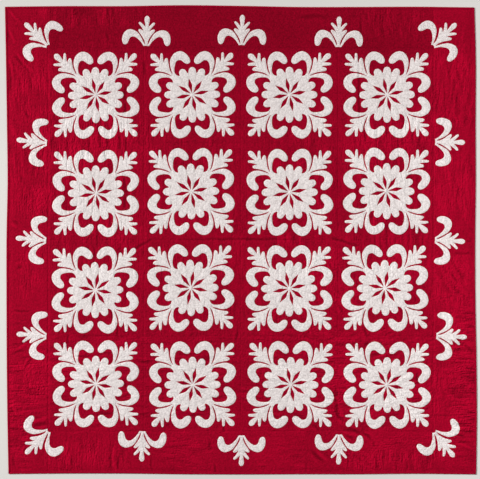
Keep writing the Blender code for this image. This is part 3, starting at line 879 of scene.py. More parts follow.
def rosette_lines():
    """The straight lines between the petals."""
    lines = []
    for step in range(LOBES):
        reach = SLIT_TO_VALLEY if step % 2 == 0 else CLEFT
        line = np.array([(reach[0], 0), (reach[1], 0)], float) * MM
        lines.append(even_steps(turned(line, LOBE_STEP * (step + 0.5)), CUT_STEP))
    return lines


block_inner_runs = quilting_runs(block_edges, INNER_LINE) + rosette_lines()
block_outer_runs = quilting_runs(block_edges, -OUTER_LINE)
print(len(block_inner_runs), "inner and", len(block_outer_runs), "outer stretches on a block")

# %% [markdown]
# ## A flat mesh for a cut-out
#
# The mesh of a sewn-down shape should bend where the cloth bends. So its points go on first
# where something happens: on the cut edge, just inside it for the rolled rim, on the quilting
# line, and along the lines in the rosette. A coarse grid fills the rest. A point that would
# crowd one already there is left out, and Delaunay triangulation, which prefers plump
# triangles, joins them all. Triangles outside the cloth or in a slit are then dropped.
#
# All sixteen motifs share one triangulation. Only their places and heights differ.

# %% Choose points that are well apart
RIM = 0.9 * MM
SHOULDER = 3 * MM
ROW_GAP = 2.6 * MM
FILL_STEP = 5 * MM
FILL_GAP = 0.75 * FILL_STEP
POINT_ROWS = (
    # distance in from the edge, least gap to the points already there
    (RIM, 0.6 * RIM),
    (SHOULDER, ROW_GAP),
    (INNER_LINE, ROW_GAP),
)
ROW_KEEPS_OFF = 0.9
SAME_POINT = 1e-6


def well_apart(candidates, taken, gap):
    """The candidates that keep their distance from the taken points and from each other."""
    cells = {}
    for x, y in taken:
        cells.setdefault((int(x // gap), int(y // gap)), []).append((x, y))
    kept = []
    for x, y in candidates:
        column, row = int(x // gap), int(y // gap)
        around = [(column + i, row + j) for i in (-1, 0, 1) for j in (-1, 0, 1)]
        close = (p for cell in around for p in cells.get(cell, ()))
        if all((x - px) ** 2 + (y - py) ** 2 >= gap * gap for px, py in close):
            kept.append((x, y))
            cells.setdefault((column, row), []).append((x, y))
    return np.array(kept).reshape(-1, 2)


row = [(x, 0) for x in range(9)]
print("of 9 points 1 apart,", len(well_apart(row, [], 3)), "are at least 3 apart")


# %% Triangulate each shape once
def flat_cut_out(edges, lines=()):
    """A shape's points, its triangles, and each point's distance in from the edge."""
    points = np.concatenate(edges)
    for inset, gap in POINT_ROWS:
        row = np.concatenate([beside(edge, inset) for edge in edges])
        row = row[edge_distance(row, edges) < -ROW_KEEPS_OFF * inset]
        points = np.concatenate([points, well_apart(row, points, gap)])
        if inset == RIM:
            for line in lines:
                points = np.concatenate([points, well_apart(line, points, ROW_GAP)])
    low, high = points.min(0), points.max(0)
    across, up = (np.arange(low[axis], high[axis], FILL_STEP) for axis in (0, 1))
    grid = np.column_stack([values.ravel() for values in np.meshgrid(across, up)])
    grid = grid[edge_distance(grid, edges) < -INNER_LINE]
    points = np.concatenate([points, well_apart(grid, points, FILL_GAP)])
    steps, first = [], 0
    for edge in edges:
        steps += [(first + i, first + (i + 1) % len(edge)) for i in range(len(edge))]
        first += len(edge)
    found = delaunay_2d_cdt([tuple(p) for p in points], steps, [], 0, SAME_POINT)
    flat, faces = np.array([tuple(p) for p in found[0]]), np.array(found[2])
    faces = faces[edge_distance(flat[faces].mean(1), edges) < 0]
    one, two, three = (flat[faces[:, k]] for k in range(3))
    turn = (two - one)[:, 0] * (three - one)[:, 1] - (two - one)[:, 1] * (three - one)[:, 0]
    faces = np.where((turn < 0)[:, None], faces[:, ::-1], faces)
    inset = np.maximum(-edge_distance(flat, edges), 0)
    return flat, faces, inset


block_flat = flat_cut_out(block_edges, rosette_lines())
sprig_flat = {kind: flat_cut_out([edge]) for kind, edge in sprig_shapes.items()}
print("block motif", len(block_flat[1]), "triangles")
print("sprig", {kind: len(flat[1]) for kind, flat in sprig_flat.items()}, "triangles")

# %% [markdown]
# ## Sew the cut-outs down
#
# A sewn-down shape is one layer of cloth whose raw edge is turned under, so it is thickest at
# its rim: two layers and a fold. From there its height dips at the quilting line and puffs up
# over the wadding in the middle. `rise` says this as heights above the ground cloth at a few
# distances in from the edge. No two shapes were cut or basted quite alike, so each one is
# also pulled about by a millimetre.

# %% Height of a cut-out above the ground cloth
RISE = (
    # distance in from the edge, height above the ground cloth (mm)
    (0.0, -0.12),
    (1.2, 0.2),
    (3.0, 0.36),
    (6.0, 0.3),
    (10.0, 0.37),
    (18.0, 0.44),
)
LINE_DEPTH = 0.55 * MM
LINE_SOFT = 2.2 * MM
HAND_WOBBLE = 1.6 * MM
WOBBLE_LENGTH = 50 * MM
MOTIF_SEED, SPRIG_SEED = 200, 300


def rise(inset, groove):
    """Height above the ground cloth, lower along the rosette's stitched lines."""
    distances, heights = np.array(RISE).T * MM
    return np.interp(inset, distances, heights) - np.where(inset > RIM, LINE_DEPTH * groove, 0)


def grooves(points, lines):
    """1 on a stitched line, fading to 0 away from it."""
    gap = np.full(len(points), FAR_OFF)
    for line in lines:
        start, run = line[0], line[-1] - line[0]
        share = np.clip(((points - start) @ run) / (run @ run), 0, 1)
        gap = np.minimum(gap, np.hypot(*(points - start - share[:, None] * run).T))
    return bell(gap, LINE_SOFT)


def placed(points, x, y, degrees, face, seed):
    """A shape's own points moved to their place on the quilt, with a little hand wobble."""
    u, v = (points / WOBBLE_LENGTH).T
    points = points + HAND_WOBBLE * np.column_stack([hills(u, v, seed), hills(u, v, seed + 1)])
    return turned(points * (1, face), degrees) + (x, y)


def top_of(points, above):
    """Points in the plane set above the cloth's top."""
    return np.column_stack([points, cloth_height(*nominal(*points.T)) + above])


def threads_on_top(runs, place, above):
    """Stitch paths moved to a cut-out's place and set a little above the cloth."""
    ends = np.cumsum([len(run) for run in runs])[:-1]
    return np.split(top_of(placed(np.concatenate(runs), *place), above), ends)


for inset in (0, 3, 6, 18):
    print(inset, "mm in, a cut-out lies", (rise(inset * MM, 0) / MM).round(2), "mm up")

# %% Where each cut-out goes
BLOCK_MOTIFS = (
    # row, column, right (mm), up (mm), turn (degrees), folded face up (1) or down (-1)
    (1, 1, 2, -1, 0.3, 1), (1, 2, 0, 1, 0.5, 1), (1, 3, 0, 1, 0.0, 1), (1, 4, 2, 1, 0.2, 1),
    (2, 1, 2, -8, 0.0, 1), (2, 2, -6, 0, 0.8, 1), (2, 3, 1, -4, 0.0, 1), (2, 4, 1, 1, -0.3, 1),
    (3, 1, -1, -9, 0.6, -1), (3, 2, -8, 1, 1.0, -1), (3, 3, -1, -2, 0.4, 1), (3, 4, -7, 1, 1.0, -1),
    (4, 1, 3, 3, 0.5, -1), (4, 2, 1, -1, 0.6, -1), (4, 3, 5, -1, -0.6, 1), (4, 4, 3, -2, 0.0, -1),
)
SPRIGS = (
    # name, x, y (mm), direction (degrees)
    ("corner_top_left", -885, 888, 135.5),
    ("top_left", -434, 886, 88.0),
    ("top_middle", 4, 890, 88.7),
    ("top_right", 447, 883, 88.7),
    ("corner_top_right", 880, 888, 44.0),
    ("left_upper", -887, 442, 173.5),
    ("left_middle", -890, -3, 175.7),
    ("left_lower", -888, -441, 176.3),
    ("right_upper", 887, 447, -1.0),
    ("right_middle", 886, -1, -3.0),
    ("right_lower", 893, -441, -2.2),
    ("corner_bottom_left", -881, -877, 223.7),
    ("bottom_left", -451, -876, 268.7),
    ("bottom_middle", 3, -896, 269.4),
    ("bottom_right", 450, -889, 269.0),
    ("corner_bottom_right", 886, -878, 307.5),
)


def every_place():
    """Each cut-out's CAD node and its place: x, y, turn, face and seed."""
    places = {}
    middle = (BLOCKS_PER_SIDE + 1) / 2
    for seed, (row, column, right, up, turn, face) in enumerate(BLOCK_MOTIFS):
        x = (column - middle) * BLOCK_PITCH[0] + right * MM
        y = (middle - row) * BLOCK_PITCH[1] + up * MM
        places[f"motif_{row}_{column}"] = (x, y, turn, face, MOTIF_SEED + 2 * seed)
    for seed, (name, x, y, degrees) in enumerate(SPRIGS):
        places[f"sprig_{name}"] = (x * MM, y * MM, degrees, 1, SPRIG_SEED + 2 * seed)
    return places


places = every_place()
print(len(places), "places")

# %% Sew every cut-out to its place
GROOVE_SHADE = 1.6
THREAD_LIFT = 0.1 * MM
cut_outs, cut_edges = {}, {}
white_edges, inner_threads, outer_threads = [], [], []


def sew_down(node, flat, lines, edges, inner, outer):
    """One cut-out on its place, with the paths of its quilting stitches."""
    points, faces, inset = flat
    place = places[node]
    groove = grooves(points, lines)
    on_top = top_of(placed(points, *place), rise(inset, groove))
    faces = faces if place[3] > 0 else faces[:, ::-1]
    marks = cloth_marks(*nominal(*on_top.T[:2]))
    # Painted shade along the rosette's stitched lines.
    marks["wear_and_shade"] -= GROOVE_SHADE * groove
    cut_outs[node] = cloth_mesh(f"{node}_cloth", on_top, faces, edge_gap=-inset, **marks)
    cut_edges[node] = edges
    placed_edges = [placed(edge, *place) for edge in edges]
    white_edges.extend(edge if place[3] > 0 else edge[::-1] for edge in placed_edges)
    inner_threads.extend(threads_on_top(inner, place, rise(INNER_LINE, 0) + THREAD_LIFT))
    outer_threads.extend(threads_on_top(outer, place, THREAD_LIFT))


for row, column, *_ in BLOCK_MOTIFS:
    node = f"motif_{row}_{column}"
    sew_down(node, block_flat, rosette_lines(), block_edges, block_inner_runs, block_outer_runs)
sprig_threads = {
    kind: [quilting_runs([edge], inset) for inset in (INNER_LINE, -OUTER_LINE)]
    for kind, edge in sprig_shapes.items()
}
for name, *_ in SPRIGS:
    kind = "corner" if name.startswith("corner") else "seam"
    node, edges = f"sprig_{name}", [sprig_shapes[kind]]
    sew_down(node, sprig_flat[kind], (), edges, *sprig_threads[kind])
print(len(cut_outs), "cut-outs,", sum(len(c.data.polygons) for c in cut_outs.values()), "triangles")

# %% [markdown]
# ## The red ground
#
# Each block and each border is its own sheet, as it was cut. One big sheet with grooves would
# be less work, but then a block couldn't be made again on its own. A sheet's grid of points
# runs to its seams. Points crowd near a seam so that the V is crisp. One more row goes past the
# seam and down, as the seam allowance does, so no light gets between two sheets. Under a white
# shape the ground is pressed down a little. Each point keeps its distance to the nearest cut
# edge, from which the finish draws the echoing quilting lines.

# %% Blocks and borders as sheets
GROUND_STEP = 5 * MM
SEAM_ROWS = (1.3 * MM, 3 * MM, 5.5 * MM)
TUCK = 0.8 * MM
TUCK_DEPTH = 1.6 * MM
UNDER_BINDING = 2 * MM
PRESSED = 0.6 * MM
PRESSED_FROM, PRESSED_OVER = 1 * MM, 2 * MM


def grid_lines(low, high, sewn_low, sewn_high):
    """Places of the grid's lines between two sides, closer and tucked under where sewn."""
    first = [low - TUCK, low, *[low + row for row in SEAM_ROWS]] if sewn_low else [low]
    last = [*[high - row for row in SEAM_ROWS[::-1]], high, high + TUCK] if sewn_high else [high]
    count = max(1, round((last[0] - first[-1]) / GROUND_STEP))
    return np.concatenate([first, np.linspace(first[-1], last[0], count + 1)[1:-1], last])


def cloth_grid(across, up):
    """The x and y of a grid's nominal points, and its square faces, facing up."""
    x, y = (values.ravel() for values in np.meshgrid(across, up))
    column, row = np.meshgrid(np.arange(len(across) - 1), np.arange(len(up) - 1))
    corner = (row * len(across) + column).ravel()
    above = corner + len(across)
    return x, y, np.column_stack([corner, corner + 1, above + 1, above])


def ground_sheet(name, x_range, y_range, sewn):
    """A red sheet over a range of x and of y. sewn says which of its four sides are seams."""
    lines = grid_lines(*x_range, *sewn[:2]), grid_lines(*y_range, *sewn[2:])
    x, y, faces = cloth_grid(*lines)
    points = np.column_stack(on_cloth(x, y))
    gap = edge_distance(points, white_edges)
    high = cloth_height(x, y) - PRESSED * np.clip((-gap - PRESSED_FROM) / PRESSED_OVER, 0, 1)
    tucked = (x < x_range[0]) | (x > x_range[1]) | (y < y_range[0]) | (y > y_range[1])
    points = np.column_stack([points, high - np.where(tucked, TUCK_DEPTH, 0)])
    piece = cloth_mesh(name, points, faces, edge_gap=gap, **cloth_marks(x, y))
    piece["cut"] = [last - first + 2 * SEAM_ALLOWANCE for first, last in (x_range, y_range)]
    return piece


def every_ground_sheet():
    """Each red sheet's name, its x and y ranges, and which sides are sewn."""
    columns, rows = side_lines(0), side_lines(1)
    for row in range(BLOCKS_PER_SIDE):
        foot = BLOCKS_PER_SIDE - 1 - row
        for column in range(BLOCKS_PER_SIDE):
            ranges = columns[column : column + 2], rows[foot : foot + 2]
            yield f"block_{row + 1}_{column + 1}", *ranges, (1, 1, 1, 1)
    outer_x, outer_y = (half - UNDER_BINDING for half in HALF_SIZE)
    field_x, field_y = FIELD_HALF
    yield "border_left", (-outer_x, -field_x), (-outer_y, outer_y), (0, 1, 0, 0)
    yield "border_right", (field_x, outer_x), (-outer_y, outer_y), (1, 0, 0, 0)
    yield "border_top", (-field_x, field_x), (field_y, outer_y), (1, 1, 1, 0)
    yield "border_bottom", (-field_x, field_x), (-outer_y, -field_y), (1, 1, 0, 1)


ground = {name: ground_sheet(name, *sizes) for name, *sizes in every_ground_sheet()}
squares = sum(len(piece.data.polygons) for piece in ground.values())
print(len(ground), "red sheets,", 2 * squares, "triangles")

# %% [markdown]
# ## The backing
#
# The quilt's back is one plain sheet, stitched through from the top. It lies on the floor, so
# only its quilting shows as shallow dimples, and it lifts a little where the binding wraps
# round the edge. Nobody sees it from above, so a coarse grid is enough for it.

# %% The plain back
BACK_STEP = 12 * MM
BACK_HEIGHT = 0.3 * MM
BACK_DIMPLE = 0.3 * MM
DIMPLE_SOFT = 5 * MM
BACK_UNEVEN = 0.25 * MM
BACK_UNEVEN_SIZE = 20 * MM
BACK_SEED = 5
BACK_LIFT = 0.75 * MM
LIFT_FROM, LIFT_OVER = 26 * MM, 16 * MM


def backing():
    """The back sheet, facing down."""
    halves = [half - UNDER_BINDING for half in HALF_SIZE]
    lines = [np.linspace(-half, half, round(2 * half / BACK_STEP) + 1) for half in halves]
    x, y, faces = cloth_grid(*lines)
    points = np.column_stack(on_cloth(x, y))
    gap = edge_distance(points, white_edges)
    high = BACK_HEIGHT + BACK_DIMPLE * bell(gap + INNER_LINE, DIMPLE_SOFT)
    high += BACK_UNEVEN * hills(x / BACK_UNEVEN_SIZE, y / BACK_UNEVEN_SIZE, BACK_SEED)
    inset = np.minimum(HALF_SIZE[0] - abs(x), HALF_SIZE[1] - abs(y))
    high = np.maximum(high, BACK_LIFT * np.clip((LIFT_FROM - inset) / LIFT_OVER, 0, 1))
    facing_down = faces[:, [0, 3, 2, 1]]
    return cloth_mesh("backing", np.column_stack([points, high]), facing_down, edge_gap=gap)


back = backing()
print("backing", 2 * len(back.data.polygons), "triangles")

# %% [markdown]
# ## The binding
#
# A binding is a long strip folded over the raw edges of all the layers and sewn down on both
# faces. In section it is a flat, rounded C. A bevelled curve could carry that section round,
# but it would turn at the corners and not be cut. So the section is set along each side at
# places a centimetre apart, and where two sides meet it is cut back at 45 degrees into a
# mitre. Small random changes of height make it look sewn by hand.

# %% The binding's section
BINDING_WIDTH = 9 * MM
BINDING_HEIGHT = 3.2 * MM
BINDING_CLOTH = 0.5 * MM
BEND_POINTS = 7
# The lip's corner is taken off, by these shares of the cloth's thickness.
LIP_UP, LIP_IN = 0.3, 0.5


def binding_section():
    """The C's closed outline, as distance in from the edge and height."""
    half, hollow = BINDING_HEIGHT / 2, BINDING_HEIGHT / 2 - BINDING_CLOTH
    angles = np.radians(np.linspace(90, 270, BEND_POINTS))
    arc = np.column_stack([np.cos(angles), np.sin(angles)])
    bend, inside = half + half * arc, half + hollow * arc
    wide, high, cloth = BINDING_WIDTH, BINDING_HEIGHT, BINDING_CLOTH
    lip = [(wide, cloth), (wide, LIP_UP * cloth), (wide - LIP_IN * cloth, 0)]
    upper_lip = [(inset, high - level) for inset, level in lip[::-1]]
    return np.concatenate([bend, lip[::-1], inside[::-1], upper_lip[::-1]])


print("binding section of", len(binding_section()), "points")


# %% Fold a strip round each edge
MITRE_GAP = 0.25 * MM
BINDING_STEP = 10 * MM
BINDING_STITCH_IN = 1.0 * MM
SEWN_WAVES = (
    # height, length, seed
    (0.18 * MM, 18 * MM, 9),
    (0.12 * MM, 7 * MM, 10),
)


def facing_out(piece):
    """Turns a closed mesh's faces outwards."""
    work = bmesh.new()
    work.from_mesh(piece.data)
    bmesh.ops.recalc_face_normals(work, faces=work.faces)
    work.to_mesh(piece.data)
    work.free()
    return piece


def beside_edge(side, share, inset):
    """Points beside one side of the quilt: share runs from -1 to 1 along it."""
    upright = side in ("left", "right")
    out = 1 if side in ("right", "top") else -1
    run_half, out_half = HALF_SIZE[::-1] if upright else HALF_SIZE
    run = share * (run_half - inset - MITRE_GAP)
    reach = out * (out_half - inset) + np.zeros_like(run)
    return on_cloth(reach, run) if upright else on_cloth(run, reach)


def sewn_wave(x, y):
    """Unevenness of hand-sewn binding."""
    return sum(high * hills(x / length, y / length, seed) for high, length, seed in SEWN_WAVES)


def binding_strip(side):
    """One side's binding. The path of the stitches that hold it down joins the red threads."""
    section = binding_section()
    around, stations = len(section), round(HEIGHT / BINDING_STEP) + 1
    share, inset = np.meshgrid(np.linspace(-1, 1, stations), section[:, 0], indexing="ij")
    x, y = beside_edge(side, share.ravel(), inset.ravel())
    high = np.tile(section[:, 1], stations)
    high = high + sewn_wave(x, y) * high / BINDING_HEIGHT
    total = stations * around
    spot = np.arange(total - around)
    after = spot // around * around + (spot + 1) % around
    faces = np.column_stack([spot, after, after + around, spot + around]).tolist()
    faces += [list(range(around)), list(range(total - around, total))]
    piece = cloth_mesh(f"binding_cloth_{side}", np.column_stack([x, y, high]), faces)
    x, y = beside_edge(side, np.linspace(-1, 1, stations), BINDING_WIDTH - BINDING_STITCH_IN)
    outer_threads.append(np.column_stack([x, y, BINDING_HEIGHT + sewn_wave(x, y)]))
    return facing_out(piece)


bindings = {f"binding_{side}": binding_strip(side) for side in WANDER}
print(len(bindings), "strips,", sum(len(piece.data.polygons) for piece in bindings.values()), "faces")

# %% [markdown]
# ## Hand stitches
#
# Every quilting line is a running stitch: the thread shows, dives under and shows again. That
# is a pattern that follows a path, so Geometry Nodes make it. The lines go in as bare edges.
# They become curves, points are set along them at the stitch pitch, and a grain-shaped stitch
# is put on each point, turned to follow the line. A fixed seed makes the stitches uneven.
#
# Real quilting has a stitch every 3 mm in thread a quarter of a millimetre thick. That is too
# fine to show from above a whole bed, so the stitches here are drawn longer and thicker.

# %% A Geometry Nodes tree for running stitch
STITCHES = (
    # name, lines, pitch, length, thickness (mm), seed
    ("quilting_stitches_white", inner_threads, 8.0, 4.6, 0.75, 11),
    ("quilting_stitches_red", outer_threads, 9.0, 5.2, 0.75, 12),
)


def stitch_tree(thread):
    """Puts a stitch at even steps along every line."""
    tree = bpy.data.node_groups.new("running stitch", "GeometryNodeTree")
    sockets = tree.interface
    sockets.new_socket("Lines", in_out="INPUT", socket_type="NodeSocketGeometry")
    for name in ("Pitch", "Length", "Thickness", "Unevenness"):
        sockets.new_socket(name, in_out="INPUT", socket_type="NodeSocketFloat")
    sockets.new_socket("Seed", in_out="INPUT", socket_type="NodeSocketInt")
    sockets.new_socket("Stitches", in_out="OUTPUT", socket_type="NodeSocketGeometry")
    given = add_node(tree, "NodeGroupInput").outputs
    curve = add_node(tree, "GeometryNodeMeshToCurve", [given["Lines"]])
    along = {"Curve": curve, "Length": given["Pitch"]}
    points = add_node(tree, "GeometryNodeCurveToPoints", along, mode="LENGTH")
    facets = {"Segments": 4, "Rings": 2, "Radius": 0.5}
    grain = add_node(tree, "GeometryNodeMeshUVSphere", facets)
    tangent = {"Vector": points.outputs["Tangent"]}
    turn = add_node(tree, "FunctionNodeAlignRotationToVector", tangent, axis="X")
    chance = {3: given["Unevenness"], "Seed": given["Seed"]}
    uneven = add_node(tree, "FunctionNodeRandomValue", chance, data_type="FLOAT").outputs[1]
    longer = add_node(tree, "ShaderNodeMath", [uneven, 1.0], operation="ADD")
    length = add_node(tree, "ShaderNodeMath", [longer, given["Length"]], operation="MULTIPLY")
    sizes = [length, given["Thickness"], given["Thickness"]]
    size = add_node(tree, "ShaderNodeCombineXYZ", sizes)
    stitch = {"Points": points, "Instance": grain, "Rotation": turn, "Scale": size}
    stitches = add_node(tree, "GeometryNodeInstanceOnPoints", stitch)
    real = add_node(tree, "GeometryNodeRealizeInstances", [stitches])
    smooth = add_node(tree, "GeometryNodeSetShadeSmooth", [real])
    finish = {"Geometry": smooth, "Material": thread}
    add_node(tree, "NodeGroupOutput", [add_node(tree, "GeometryNodeSetMaterial", finish)])
    return tree


for name, _, pitch, *_ in STITCHES:
    print(name, "are set", pitch, "mm apart")


# %% Run the tree along the quilting lines
STITCH_UNEVENNESS = 0.35


def sew(name, lines, pitch, length, thickness, seed, thread):
    """Makes one object of plain stitches along the lines."""
    steps, first = [], 0
    for line in lines:
        steps += [(i, i + 1) for i in range(first, first + len(line) - 1)]
        first += len(line)
    path = bpy.data.meshes.new("stitch paths")
    path.from_pydata(np.concatenate(lines).tolist(), steps, [])
    guide = in_scene("stitch paths", path)
    tree = stitch_tree(thread)
    modifier = guide.modifiers.new("running stitch", "NODES")
    modifier.node_group = tree
    values = {"Pitch": pitch * MM, "Length": length * MM, "Thickness": thickness * MM}
    values |= {"Unevenness": STITCH_UNEVENNESS, "Seed": seed}
    for socket in tree.interface.items_tree:
        if socket.name in values:
            modifier[socket.identifier] = values[socket.name]
    bpy.context.view_layer.update()
    made = guide.evaluated_get(bpy.context.evaluated_depsgraph_get())
    mesh = bpy.data.meshes.new_from_object(made)
    bpy.data.objects.remove(guide)
    return in_scene(name, mesh)


print(len(inner_threads), "lines for white thread,", len(outer_threads), "for red")

# %% [markdown]
# ## Finishes
#
# All the cloth is plain-weave cotton, so one function makes every finish, and each colour and
# size is given to it. An image of cloth would be quicker, but it would repeat, and its light
# would come from one side only. What the eye gets from such cloth:
#
# - its dye is never level. It is paler on the ridges, which washing and hands have worn. The
#   troughs and the stitched grooves are painted deeper, as painted shade;
# - thin creases lie about a centimetre apart, each with a thin line of painted shade;
# - its threads cross over and under, and some are thicker (slubs). The real weave is half a
#   millimetre, and it is drawn four times coarser here so that a render can hold it;
# - it has no gloss to speak of, so the specular level is far below a plastic's;
# - each quilting stitch pulls the cloth into small puckers, fine crimps run where the cloth is
#   crimped, and lines of quilting echo the cut edges for a few centimetres.
#
# The pattern is read from Object coordinates in metres, so its scale is a real size. Shade and
# relief are both made in the same way: a list of layers, each with the weight it has in the
# sum. The relief is in millimetres, and one bump turns it into light and shadow.

# %% Patterns that a cotton finish is made of
CREASE = 12 * MM
CREASE_SHARPNESS = 20
CREASE_DETAIL = 2.0
ECHO = 11 * MM
ECHO_REACH = 45 * MM
THREAD_BEND, THREAD_DETAIL = 0.6, 2.0


def noise(tree, place, across, up, detail=1.0):
    """Noise about zero whose grains are across wide and up high."""
    finer = [place, (1 / across, 1 / up, 1 / across)]
    sized = add_node(tree, "ShaderNodeVectorMath", finer, operation="MULTIPLY")
    look = {"Vector": sized, "Scale": 1.0, "Detail": detail}
    grains = add_node(tree, "ShaderNodeTexNoise", look)
    return add_node(tree, "ShaderNodeMath", [grains, 0.5], operation="SUBTRACT")


def echo_lines(tree, gap):
    """Puffs between lines that follow the cut edges, fainter with distance."""
    outside = add_node(tree, "ShaderNodeMath", [gap, OUTER_LINE], operation="SUBTRACT")
    row = add_node(tree, "ShaderNodeMath", [outside, ECHO / 2], operation="PINGPONG")
    puff = add_node(tree, "ShaderNodeMath", [row, ECHO / 2], operation="DIVIDE")
    fading = {"Value": gap, "From Max": ECHO_REACH, "To Min": 1, "To Max": 0}
    nearness = add_node(tree, "ShaderNodeMapRange", fading)
    return add_node(tree, "ShaderNodeMath", [puff, nearness], operation="MULTIPLY")


def fine_creases(tree, place):
    """-1 on thin wandering lines, 0 between them."""
    line = noise(tree, place, CREASE, CREASE, CREASE_DETAIL)
    for operation, *number in (
        ("ABSOLUTE",),
        ("MULTIPLY", CREASE_SHARPNESS),
        ("MINIMUM", 1.0),
        ("SUBTRACT", 1.0),
    ):
        line = add_node(tree, "ShaderNodeMath", [line, *number], operation=operation)
    return line


def crossed_threads(tree, place, weave):
    """Threads that cross over and under: two sets of waves at right angles."""
    # At a scale of 1 the texture's waves are pi / 10 apart.
    wave = {"Vector": place, "Scale": math.pi / (10 * weave)}
    wave |= {"Distortion": THREAD_BEND, "Detail Scale": THREAD_DETAIL}
    threads = [
        add_node(tree, "ShaderNodeTexWave", wave, bands_direction=way).outputs["Fac"]
        for way in ("X", "Y")
    ]
    return add_node(tree, "ShaderNodeMath", threads, operation="MULTIPLY")


def crimp_troughs(tree, place, way, size):
    """Fine troughs, as deep as the cloth is crimped that way."""
    low = [noise(tree, place, *size), 0.0]
    troughs = add_node(tree, "ShaderNodeMath", low, operation="MINIMUM")
    return add_node(tree, "ShaderNodeMath", [troughs, way], operation="MULTIPLY")


def layered(tree, start, layers):
    """A number or a pattern, and on it each layer times its weight."""
    for layer, weight in layers:
        sum_so_far = [layer, weight, start]
        start = add_node(tree, "ShaderNodeMath", sum_so_far, operation="MULTIPLY_ADD")
    return start


print("creases", round(CREASE / MM), "mm apart, echo lines every", round(ECHO / MM), "mm")

# %% One function for woven cotton
COTTON_ROUGHNESS = 0.9
COTTON_GLOSS = 0.03
WEAVE = 2.2 * MM
THREAD_RELIEF = 0.07
MIDDLE_SHADE = 0.58
SHADE_NOISE = (
    # grain size, detail, weight in the shade: unlevel dye, then slubs
    (250 * MM, 3.0, 0.4),
    (6 * MM, 2.0, 1.0),
)
PUCKER = 7.5 * MM
FINE_CRIMP = (6 * MM, 45 * MM)


def woven_cotton(
    name, deep, pale, roughness=COTTON_ROUGHNESS, weave=WEAVE, wear_and_shade_amount=0.5,
    pucker=(), crease=(), crimp=0.0, echo=0.0,
):
    """Plain-weave cotton between two shades.

    Its wear and shade amount says how much paler a worn ridge is and how deep the painted shade
    in the troughs and stitched grooves is. pucker is a height where the cloth is smooth and what
    a crimp adds to it, crease is the depth of a fine crease and how much painted shade darkens
    it, crimp and echo are heights. All heights are in mm."""
    finish = bpy.data.materials.new(name)
    finish.use_nodes = True
    tree = finish.node_tree
    shader = tree.nodes["Principled BSDF"]
    shader.inputs["Roughness"].default_value = roughness
    shader.inputs["Specular IOR Level"].default_value = COTTON_GLOSS
    place = add_node(tree, "ShaderNodeTexCoord").outputs["Object"]
    # The numbers kept at each point of the cloth, or 0 where a piece has none.
    wear_and_shade, up, across, gap = (
        add_node(tree, "ShaderNodeAttribute", attribute_name=mark).outputs["Fac"]
        for mark in ("wear_and_shade", "crimped_up", "crimped_across", "edge_gap")
    )
    woven = [crossed_threads(tree, place, weave), THREAD_RELIEF]
    cloth = add_node(tree, "ShaderNodeMath", woven, operation="MULTIPLY")
    shades = [
        (noise(tree, place, size, size, detail), weight)
        for size, detail, weight in SHADE_NOISE
    ]
    # Worn ridges get paler, and troughs and stitched grooves darker, as painted shade.
    shades.append((wear_and_shade, wear_and_shade_amount))
    heights = []
    if crease:
        lines = fine_creases(tree, place)
        heights.append((lines, crease[0]))
        # Painted shade along each fine crease.
        shades.append((lines, crease[1]))
    if pucker:
        crimped = add_node(tree, "ShaderNodeMath", [up, across], operation="ADD")
        strength = layered(tree, pucker[0], [(crimped, pucker[1])])
        heights.append((noise(tree, place, PUCKER, PUCKER), strength))
    if crimp:
        for way, size in ((up, FINE_CRIMP), (across, FINE_CRIMP[::-1])):
            heights.append((crimp_troughs(tree, place, way, size), crimp))
    if echo:
        heights.append((echo_lines(tree, gap), echo))
    shade = add_node(tree, "ShaderNodeClamp", [layered(tree, MIDDLE_SHADE, shades)])
    dyed = {0: shade, 6: dye(deep), 7: dye(pale)}
    colour = add_node(tree, "ShaderNodeMix", dyed, data_type="RGBA").outputs[2]
    tree.links.new(colour, shader.inputs["Base Color"])
    relief = {"Height": layered(tree, cloth, heights), "Distance": MM, "Strength": 1.0}
    tree.links.new(add_node(tree, "ShaderNodeBump", relief).outputs[0], shader.inputs["Normal"])
    return finish


print("the weave is drawn", round(WEAVE / MM, 1), "mm wide")

# %% The quilt's own cottons and threads
# Turkey red is a dye that goes deep into the thread: a matt crimson, paler where it is worn.
# Its deepest colour also stands for the painted shade in troughs and fine creases.
red_cotton = woven_cotton(
    "turkey_red_plain_weave_cotton",
    "740218",
    "b0042a",
    wear_and_shade_amount=0.45,
    pucker=(0.8, 3.0),
    crease=(0.2, 0.35),
    crimp=7.5,
    echo=0.5,
)
# The binding is the same cloth, pulled tight over the edge, so no crease shows in it.
binding_cotton = woven_cotton("turkey_red_binding_cotton", "86031f", "a00528")
# Bleached cotton is a warm white with a faint pink from the red below it. Its deepest colour
# also stands for the painted shade in troughs, grooves and fine creases.
white_cotton = woven_cotton(
    "bleached_plain_weave_cotton",
    "d4cac8",
    "f7efed",
    wear_and_shade_amount=0.22,
    pucker=(1.2, 0.8),
    crease=(0.5, 0.9),
    crimp=3.5,
)
# Unbleached cotton keeps the cream of the plant.
back_cotton = woven_cotton("unbleached_backing_cotton", "d8cdb8", "e2d8c6", pucker=(0.8, 0.5))
# Thread is twisted tight, so it is smoother than cloth, with a finer grain.
twisted = {"roughness": 0.7, "weave": 0.5 * MM}
white_thread = woven_cotton("white_quilting_thread", "e2d8d4", "ece4e0", **twisted)
red_thread = woven_cotton("red_quilting_thread", "8c0420", "9c0528", **twisted)

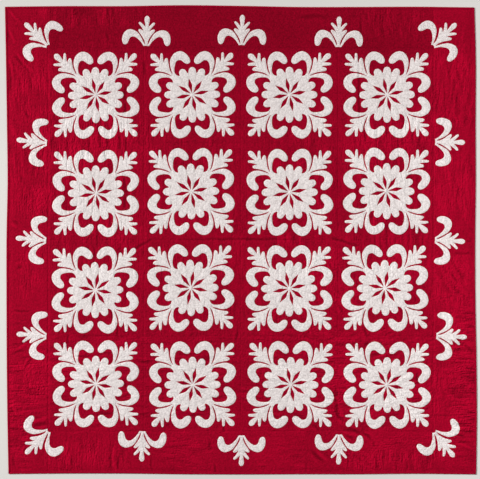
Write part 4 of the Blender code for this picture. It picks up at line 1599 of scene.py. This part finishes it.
finishes = (red_cotton, binding_cotton, white_cotton, back_cotton, white_thread, red_thread)
print(len(finishes), "finishes of", [len(finish.node_tree.nodes) for finish in finishes], "nodes")

# %% Put the finishes on
for finish, pieces in (
    (white_cotton, cut_outs.values()),
    (red_cotton, ground.values()),
    (binding_cotton, bindings.values()),
    (back_cotton, [back]),
):
    for piece in pieces:
        piece.data.materials.append(finish)
    print(finish.name, "on", len(pieces), "pieces")

# %% Sew the stitches
stitches = [sew(*row, thread) for row, thread in zip(STITCHES, (white_thread, red_thread))]
print("stitch faces", [len(piece.data.polygons) for piece in stitches])

# %% [markdown]
# ## Attach the pieces
#
# Each piece rides with the quilt's one body, and the plain solid it stands for is hidden. Each red
# sheet keeps the size it was cut to, and each cut-out's cut size and area are worked out.

# %% Attach every sheet and hide the solids
TURN_UNDER = 5 * MM


def cut_area(edges):
    """The area inside the first edge less its holes."""
    areas = []
    for edge in edges:
        (x, y), (next_x, next_y) = edge.T, np.roll(edge, -1, axis=0).T
        areas.append(abs(x @ next_y - y @ next_x) / 2)
    return areas[0] - sum(areas[1:])


def cut_size(edge):
    """The rectangle of cloth that a shape is cut from, its turn-under included."""
    return [float(side) + 2 * TURN_UNDER for side in edge.max(0) - edge.min(0)]


def sewn_to(node):
    """The red sheet that a cut-out is sewn to."""
    kind, *words = node.split("_")
    if kind == "motif":
        return ground[node.replace("motif", "block")]
    return ground[f"border_{words[-1] if words[0] == 'corner' else words[0]}"]


for piece in [*cut_outs.values(), *ground.values(), back, *bindings.values(), *stitches]:
    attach(piece, "root")
for node, piece in [*cut_outs.items(), *bindings.items()]:
    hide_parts(node)
for piece in [*ground.values(), back]:
    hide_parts("ground_cloth")
for node, piece in cut_outs.items():
    size, area = cut_size(cut_edges[node][0]), cut_area(cut_edges[node])
    sewn_to(node)
for piece in ground.values():
    list(piece["cut"])

# %% Measure the dressed quilt's box
visual_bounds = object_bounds()
boxes = {"cad": cad_bounds, "visual": visual_bounds}
{name: [list(corner) for corner in box] for name, box in boxes.items()}
print("visual box", [round(s, 4) for s in visual_bounds[1] - visual_bounds[0]])
